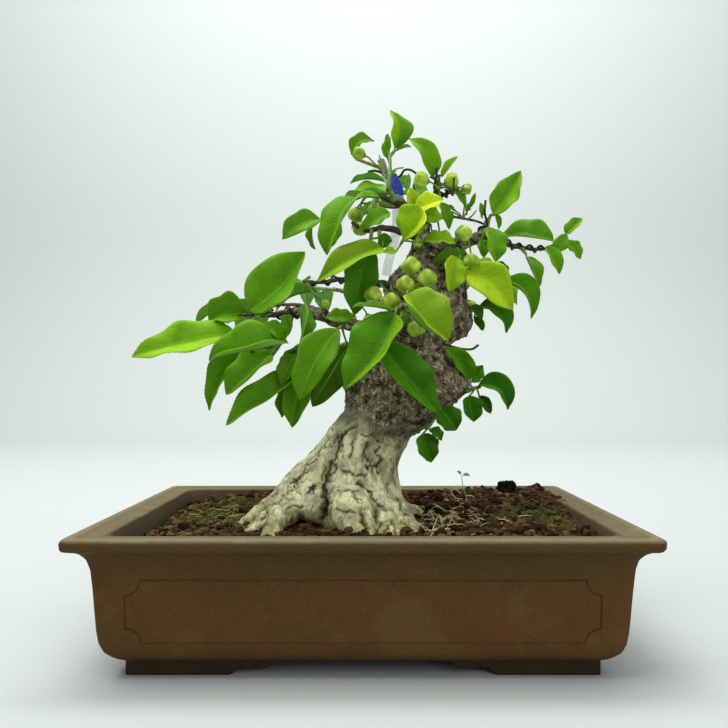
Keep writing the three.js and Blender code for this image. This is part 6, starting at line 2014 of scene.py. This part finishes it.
# Wires, label and seedling
WIRE_RADIUS = 0.6
WIRE_SCRAPS = {
    "wire_upper_middle": [
        [[33.5, 227, -6], [36, 225.5, -6.5], [38.5, 222.8, -7], [41, 223, -8]],
        [[25, 223, -6], [26, 219.5, -7], [27.5, 216, -7]],
        [[36, 223.5, -9], [36.5, 226, -12], [36.8, 229, -12], [36.9, 231.6, -12]],
        [[41, 223, -8], [43.5, 219, -13], [45.2, 219.4, -19.8], [45.6, 226.6, -20.2]],
    ],
    "wire_upper_right": [[[41, 220.5, -8], [43.5, 218.6, -9], [46, 219.5, -9]]],
    "wire_leader": [[[7.5, 212.5, -6], [13, 211.3, -7], [18, 211.5, -6]]],
    "wire_left": [[[-67, 132.7, -22], [-60, 135.3, -24], [-55.7, 139.5, -25]], [[-34.5, 138, -27], [-31, 135, -28], [-29.6, 132.7, -27]]],
    "wire_burl": [[[17.6, 148, -22], [20, 146.3, -23], [22, 146, -22]]],
}


def wound(wire):
    """The points of a wire that is wound on a limb, clear of its bark, and of its free end."""
    points = []
    if wire["limb"]:
        limb = LIMBS[wire["limb"]]
        path = Path([seen(p) for p in limb["points"]])
        frames = path.frames(60)
        steps = round(wire["turns"] * 14)
        for step in range(steps + 1):
            share = mix(wire["from"], wire["to"], step / steps)
            normal, binormal = frames[round(share * 60)]
            clear = radius_at(limb["radii"], share) + WIRE_RADIUS + 0.12
            angle = math.radians(wire["start"]) + math.tau * wire["turns"] * step / steps
            points.append(path.along(share) + normal * (clear * math.cos(angle)) + binormal * (clear * math.sin(angle)))
    return points + [seen(p) for p in wire["end"]]


class BONSAI_OT_wires(bpy.types.Operator):
    """Model the training wires wound on the branches"""

    bl_idname = "bonsai.wires"
    bl_label = "Training wires"

    def execute(self, context):
        look = context.scene.bonsai.fitting
        dark = plain_finish("wire_coat", look.wire, srgb(44, 38, 32), 0.36, 0.05, 0.8, Metallic=0.0, IOR=1.5)
        for wire in WIRES:
            points = wound(wire)
            tubes = [tube(points, [WIRE_RADIUS] * 2, 0.5)]
            for scrap in WIRE_SCRAPS.get(wire["name"], []):
                tubes.append(tube([seen(p) for p in scrap], [0.5] * 2, 0.5))
            piece = strands("training_" + wire["name"], tubes, 10)
            piece.data.materials.append(dark)
            finish(piece, "wire", wire["name"])
        return {"FINISHED"}


LABEL_PATH = [
    (12.6, 228.5, -4), (17.4, 217.4, -6), (17, 211, 1), (16.6, 202, 1), (15.6, 194, 0), (13.4, 186, -4), (11.4, 177, -8),
]


class BONSAI_OT_label(bpy.types.Operator):
    """Model the plain label strip bent over the leader"""

    bl_idname = "bonsai.label"
    bl_label = "Label strip"

    def execute(self, context):
        look = context.scene.bonsai.fitting
        path = Path([seen(p) for p in LABEL_PATH])
        bpy.ops.object.select_all(action="DESELECT")
        bpy.ops.mesh.primitive_grid_add(x_subdivisions=8, y_subdivisions=60, size=2)
        strip = named("label_strip")
        places = places_of(strip)
        for place in places:
            share = (1 - place[1]) / 2
            along = path.heading(share)
            across = Vector((1, -0.25, 0.3))
            across = (across - along * along.dot(across)).normalized()
            out = along.cross(across)
            curl = place[0] ** 2 * 0.7 + 0.25 * math.sin(share * 23)
            place[:] = path.along(share) + across * (place[0] * mix(3.5, 2.4, smooth(share, 0.16, 0.24))) + out * curl
        move_to(strip, places)
        plastic = plain_finish("label_plastic", look.strip, srgb(188, 200, 192), 0.2, 0.06, 2, Alpha=0.34, IOR=1.46)
        band = plain_finish("label_band", look.band, srgb(120, 140, 210), 0.35, 0.05, 1.2, IOR=1.46)
        strip.data.materials.append(plastic)
        strip.data.materials.append(band)
        for face in strip.data.polygons:
            if 216.5 < face.center.z / MM < 227.4 and face.index % 8 > 1:
                face.material_index = 1
        apply_modifier(strip, "SOLIDIFY", thickness=0.3 * MM, offset=0)
        smooth_faces(strip, 50)
        finish(strip, "label", "label")
        return {"FINISHED"}


class BONSAI_OT_seedling(bpy.types.Operator):
    """Model the small weed in the soil"""

    bl_idname = "bonsai.seedling"
    bl_label = "Seedling"

    def execute(self, context):
        look = context.scene.bonsai.fitting
        foot, top = seen((52.5, 62, 30)), seen((49.5, 76, 28))
        bend = foot.lerp(top, 0.6) + Vector((-0.6, 0, 0))
        low = Vector((foot.x, foot.y, foot.z - 4))
        draw = draws(5)
        green = plain_finish("seed_leaf", look.seedling, srgb(150, 170, 90), 0.5, 0.08, 1.5, IOR=1.42)
        master = master_blade()
        blades = []
        for place, width in (((47.3, 77.9, 28), 3.2), ((53.8, 75.8, 27), 3.6)):
            base = top.lerp(seen(place), 0.15)
            blades.append(Leaf(base, seen(place), width, looking(10, 72), 0.08, 8).blade(master, 0, draw))
        bpy.data.objects.remove(master)
        leaves = join("seed_leaves", *blades)
        leaves.data.materials.clear()
        leaves.data.materials.append(green)
        apply_modifier(leaves, "SOLIDIFY", thickness=0.3 * MM, offset=-1, use_even_offset=False)
        stem = strands("seedling_stem", [tube([low, foot, bend, top], [0.26, 0.24, 0.2, 0.2], 0.8)], 8)
        stem.data.materials.append(plain_finish("seedling_stem", srgb(176, 194, 140), look.seedling, 0.5, 0.05, IOR=1.4))
        piece = join("small_weed", leaves, stem)
        finish(piece, "seedling", "seedling")
        return {"FINISHED"}


# Stage
def area_light(name, place, target, size, power):
    bpy.ops.object.light_add(type="AREA", location=place)
    light = bpy.context.object
    light.name = name
    light.data.shape = "DISK"
    light.data.size = size
    light.data.energy = power
    light.rotation_euler = (Vector(target) - Vector(place)).to_track_quat("-Z", "Y").to_euler()


class BONSAI_OT_stage(bpy.types.Operator):
    """Set the camera, the soft light and the plain pale floor"""

    bl_idname = "bonsai.stage"
    bl_label = "Camera, light and floor"

    def execute(self, context):
        look = context.scene.bonsai.stage
        bpy.ops.object.select_all(action="DESELECT")
        bpy.ops.object.camera_add(location=EYE * MM, rotation=(math.pi / 2, 0, 0))
        camera = bpy.context.object
        camera.name = "camera"
        camera.data.lens = look.lens
        camera.data.sensor_width = 36
        camera.data.clip_start = 0.01
        camera.data.shift_x = -0.0047
        camera.data.shift_y = 0.0398
        context.scene.camera = camera

        bpy.ops.mesh.primitive_grid_add(x_subdivisions=4, y_subdivisions=48, size=2)
        floor = named("floor")
        places = places_of(floor)
        for place in places:
            run = (place[1] + 1) / 2 * 6000 - 2200
            bend = min(max((run - 1500) / 600, 0), math.pi / 2)
            high = 600 * (1 - math.cos(bend)) + max(0, run - 1500 - 600 * math.pi / 2)
            back = min(run, 1500) + 600 * math.sin(bend)
            place[:] = (place[0] * 4000, back, high)
        move_to(floor, places)
        smooth_faces(floor)
        floor.data.materials.append(plain_finish("backdrop", look.backdrop, look.backdrop, 0.9, 0.02, 40))

        area_light("key", (-0.35, -0.25, 1.15), (0, 0, 0.12), 0.9, look.key)
        area_light("fill", (0.55, -0.95, 0.55), (0, 0, 0.12), 0.8, look.fill)
        area_light("wall", (0, 0.6, 2.2), (0, 2.2, 1.1), 2.2, 70)
        world = bpy.data.worlds.new("studio")
        world.use_nodes = True
        world.node_tree.nodes["Background"].inputs["Color"].default_value = (0.9, 0.935, 0.905, 1)
        world.node_tree.nodes["Background"].inputs["Strength"].default_value = 0.46
        context.scene.world = world
        context.scene.view_settings.view_transform = "Standard"
        return {"FINISHED"}


PIECES = (
    BONSAI_OT_stage, BONSAI_OT_pot, BONSAI_OT_soil, BONSAI_OT_trunk, BONSAI_OT_shoots, BONSAI_OT_fruit,
    BONSAI_OT_wires, BONSAI_OT_label, BONSAI_OT_seedling,
)


class BONSAI_PT_pieces(bpy.types.Panel):
    """The pieces of the bonsai and their settings"""

    bl_idname = "BONSAI_PT_pieces"
    bl_label = "Spindle Tree Bonsai"
    bl_space_type = "VIEW_3D"
    bl_region_type = "UI"
    bl_category = "Bonsai"

    def draw(self, context):
        layout = self.layout
        for piece in PIECES:
            layout.operator(piece.bl_idname)
        for group in context.scene.bonsai.bl_rna.properties:
            if group.type != "POINTER":
                continue
            box = layout.box()
            box.label(text=group.identifier.capitalize())
            settings = getattr(context.scene.bonsai, group.identifier)
            for entry in settings.bl_rna.properties:
                if entry.identifier not in ("rna_type", "name"):
                    box.prop(settings, entry.identifier)


CLASSES = (
    PotSettings, SoilSettings, TrunkSettings, LeafSettings, FruitSettings, FittingSettings, StageSettings,
    BonsaiSettings, *PIECES, BONSAI_PT_pieces,
)


def register():
    for kind in CLASSES:
        bpy.utils.register_class(kind)
    bpy.types.Scene.bonsai = PointerProperty(type=BonsaiSettings)


def unregister():
    del bpy.types.Scene.bonsai
    for kind in reversed(CLASSES):
        bpy.utils.unregister_class(kind)


def main():
    register()
    bpy.ops.bonsai.stage()
    bpy.ops.bonsai.pot()
    bpy.ops.bonsai.soil()
    bpy.ops.bonsai.trunk()
    bpy.ops.bonsai.shoots()
    bpy.ops.bonsai.fruit()
    bpy.ops.bonsai.wires()
    bpy.ops.bonsai.label()
    bpy.ops.bonsai.seedling()


if __name__ == "__main__":
    main()
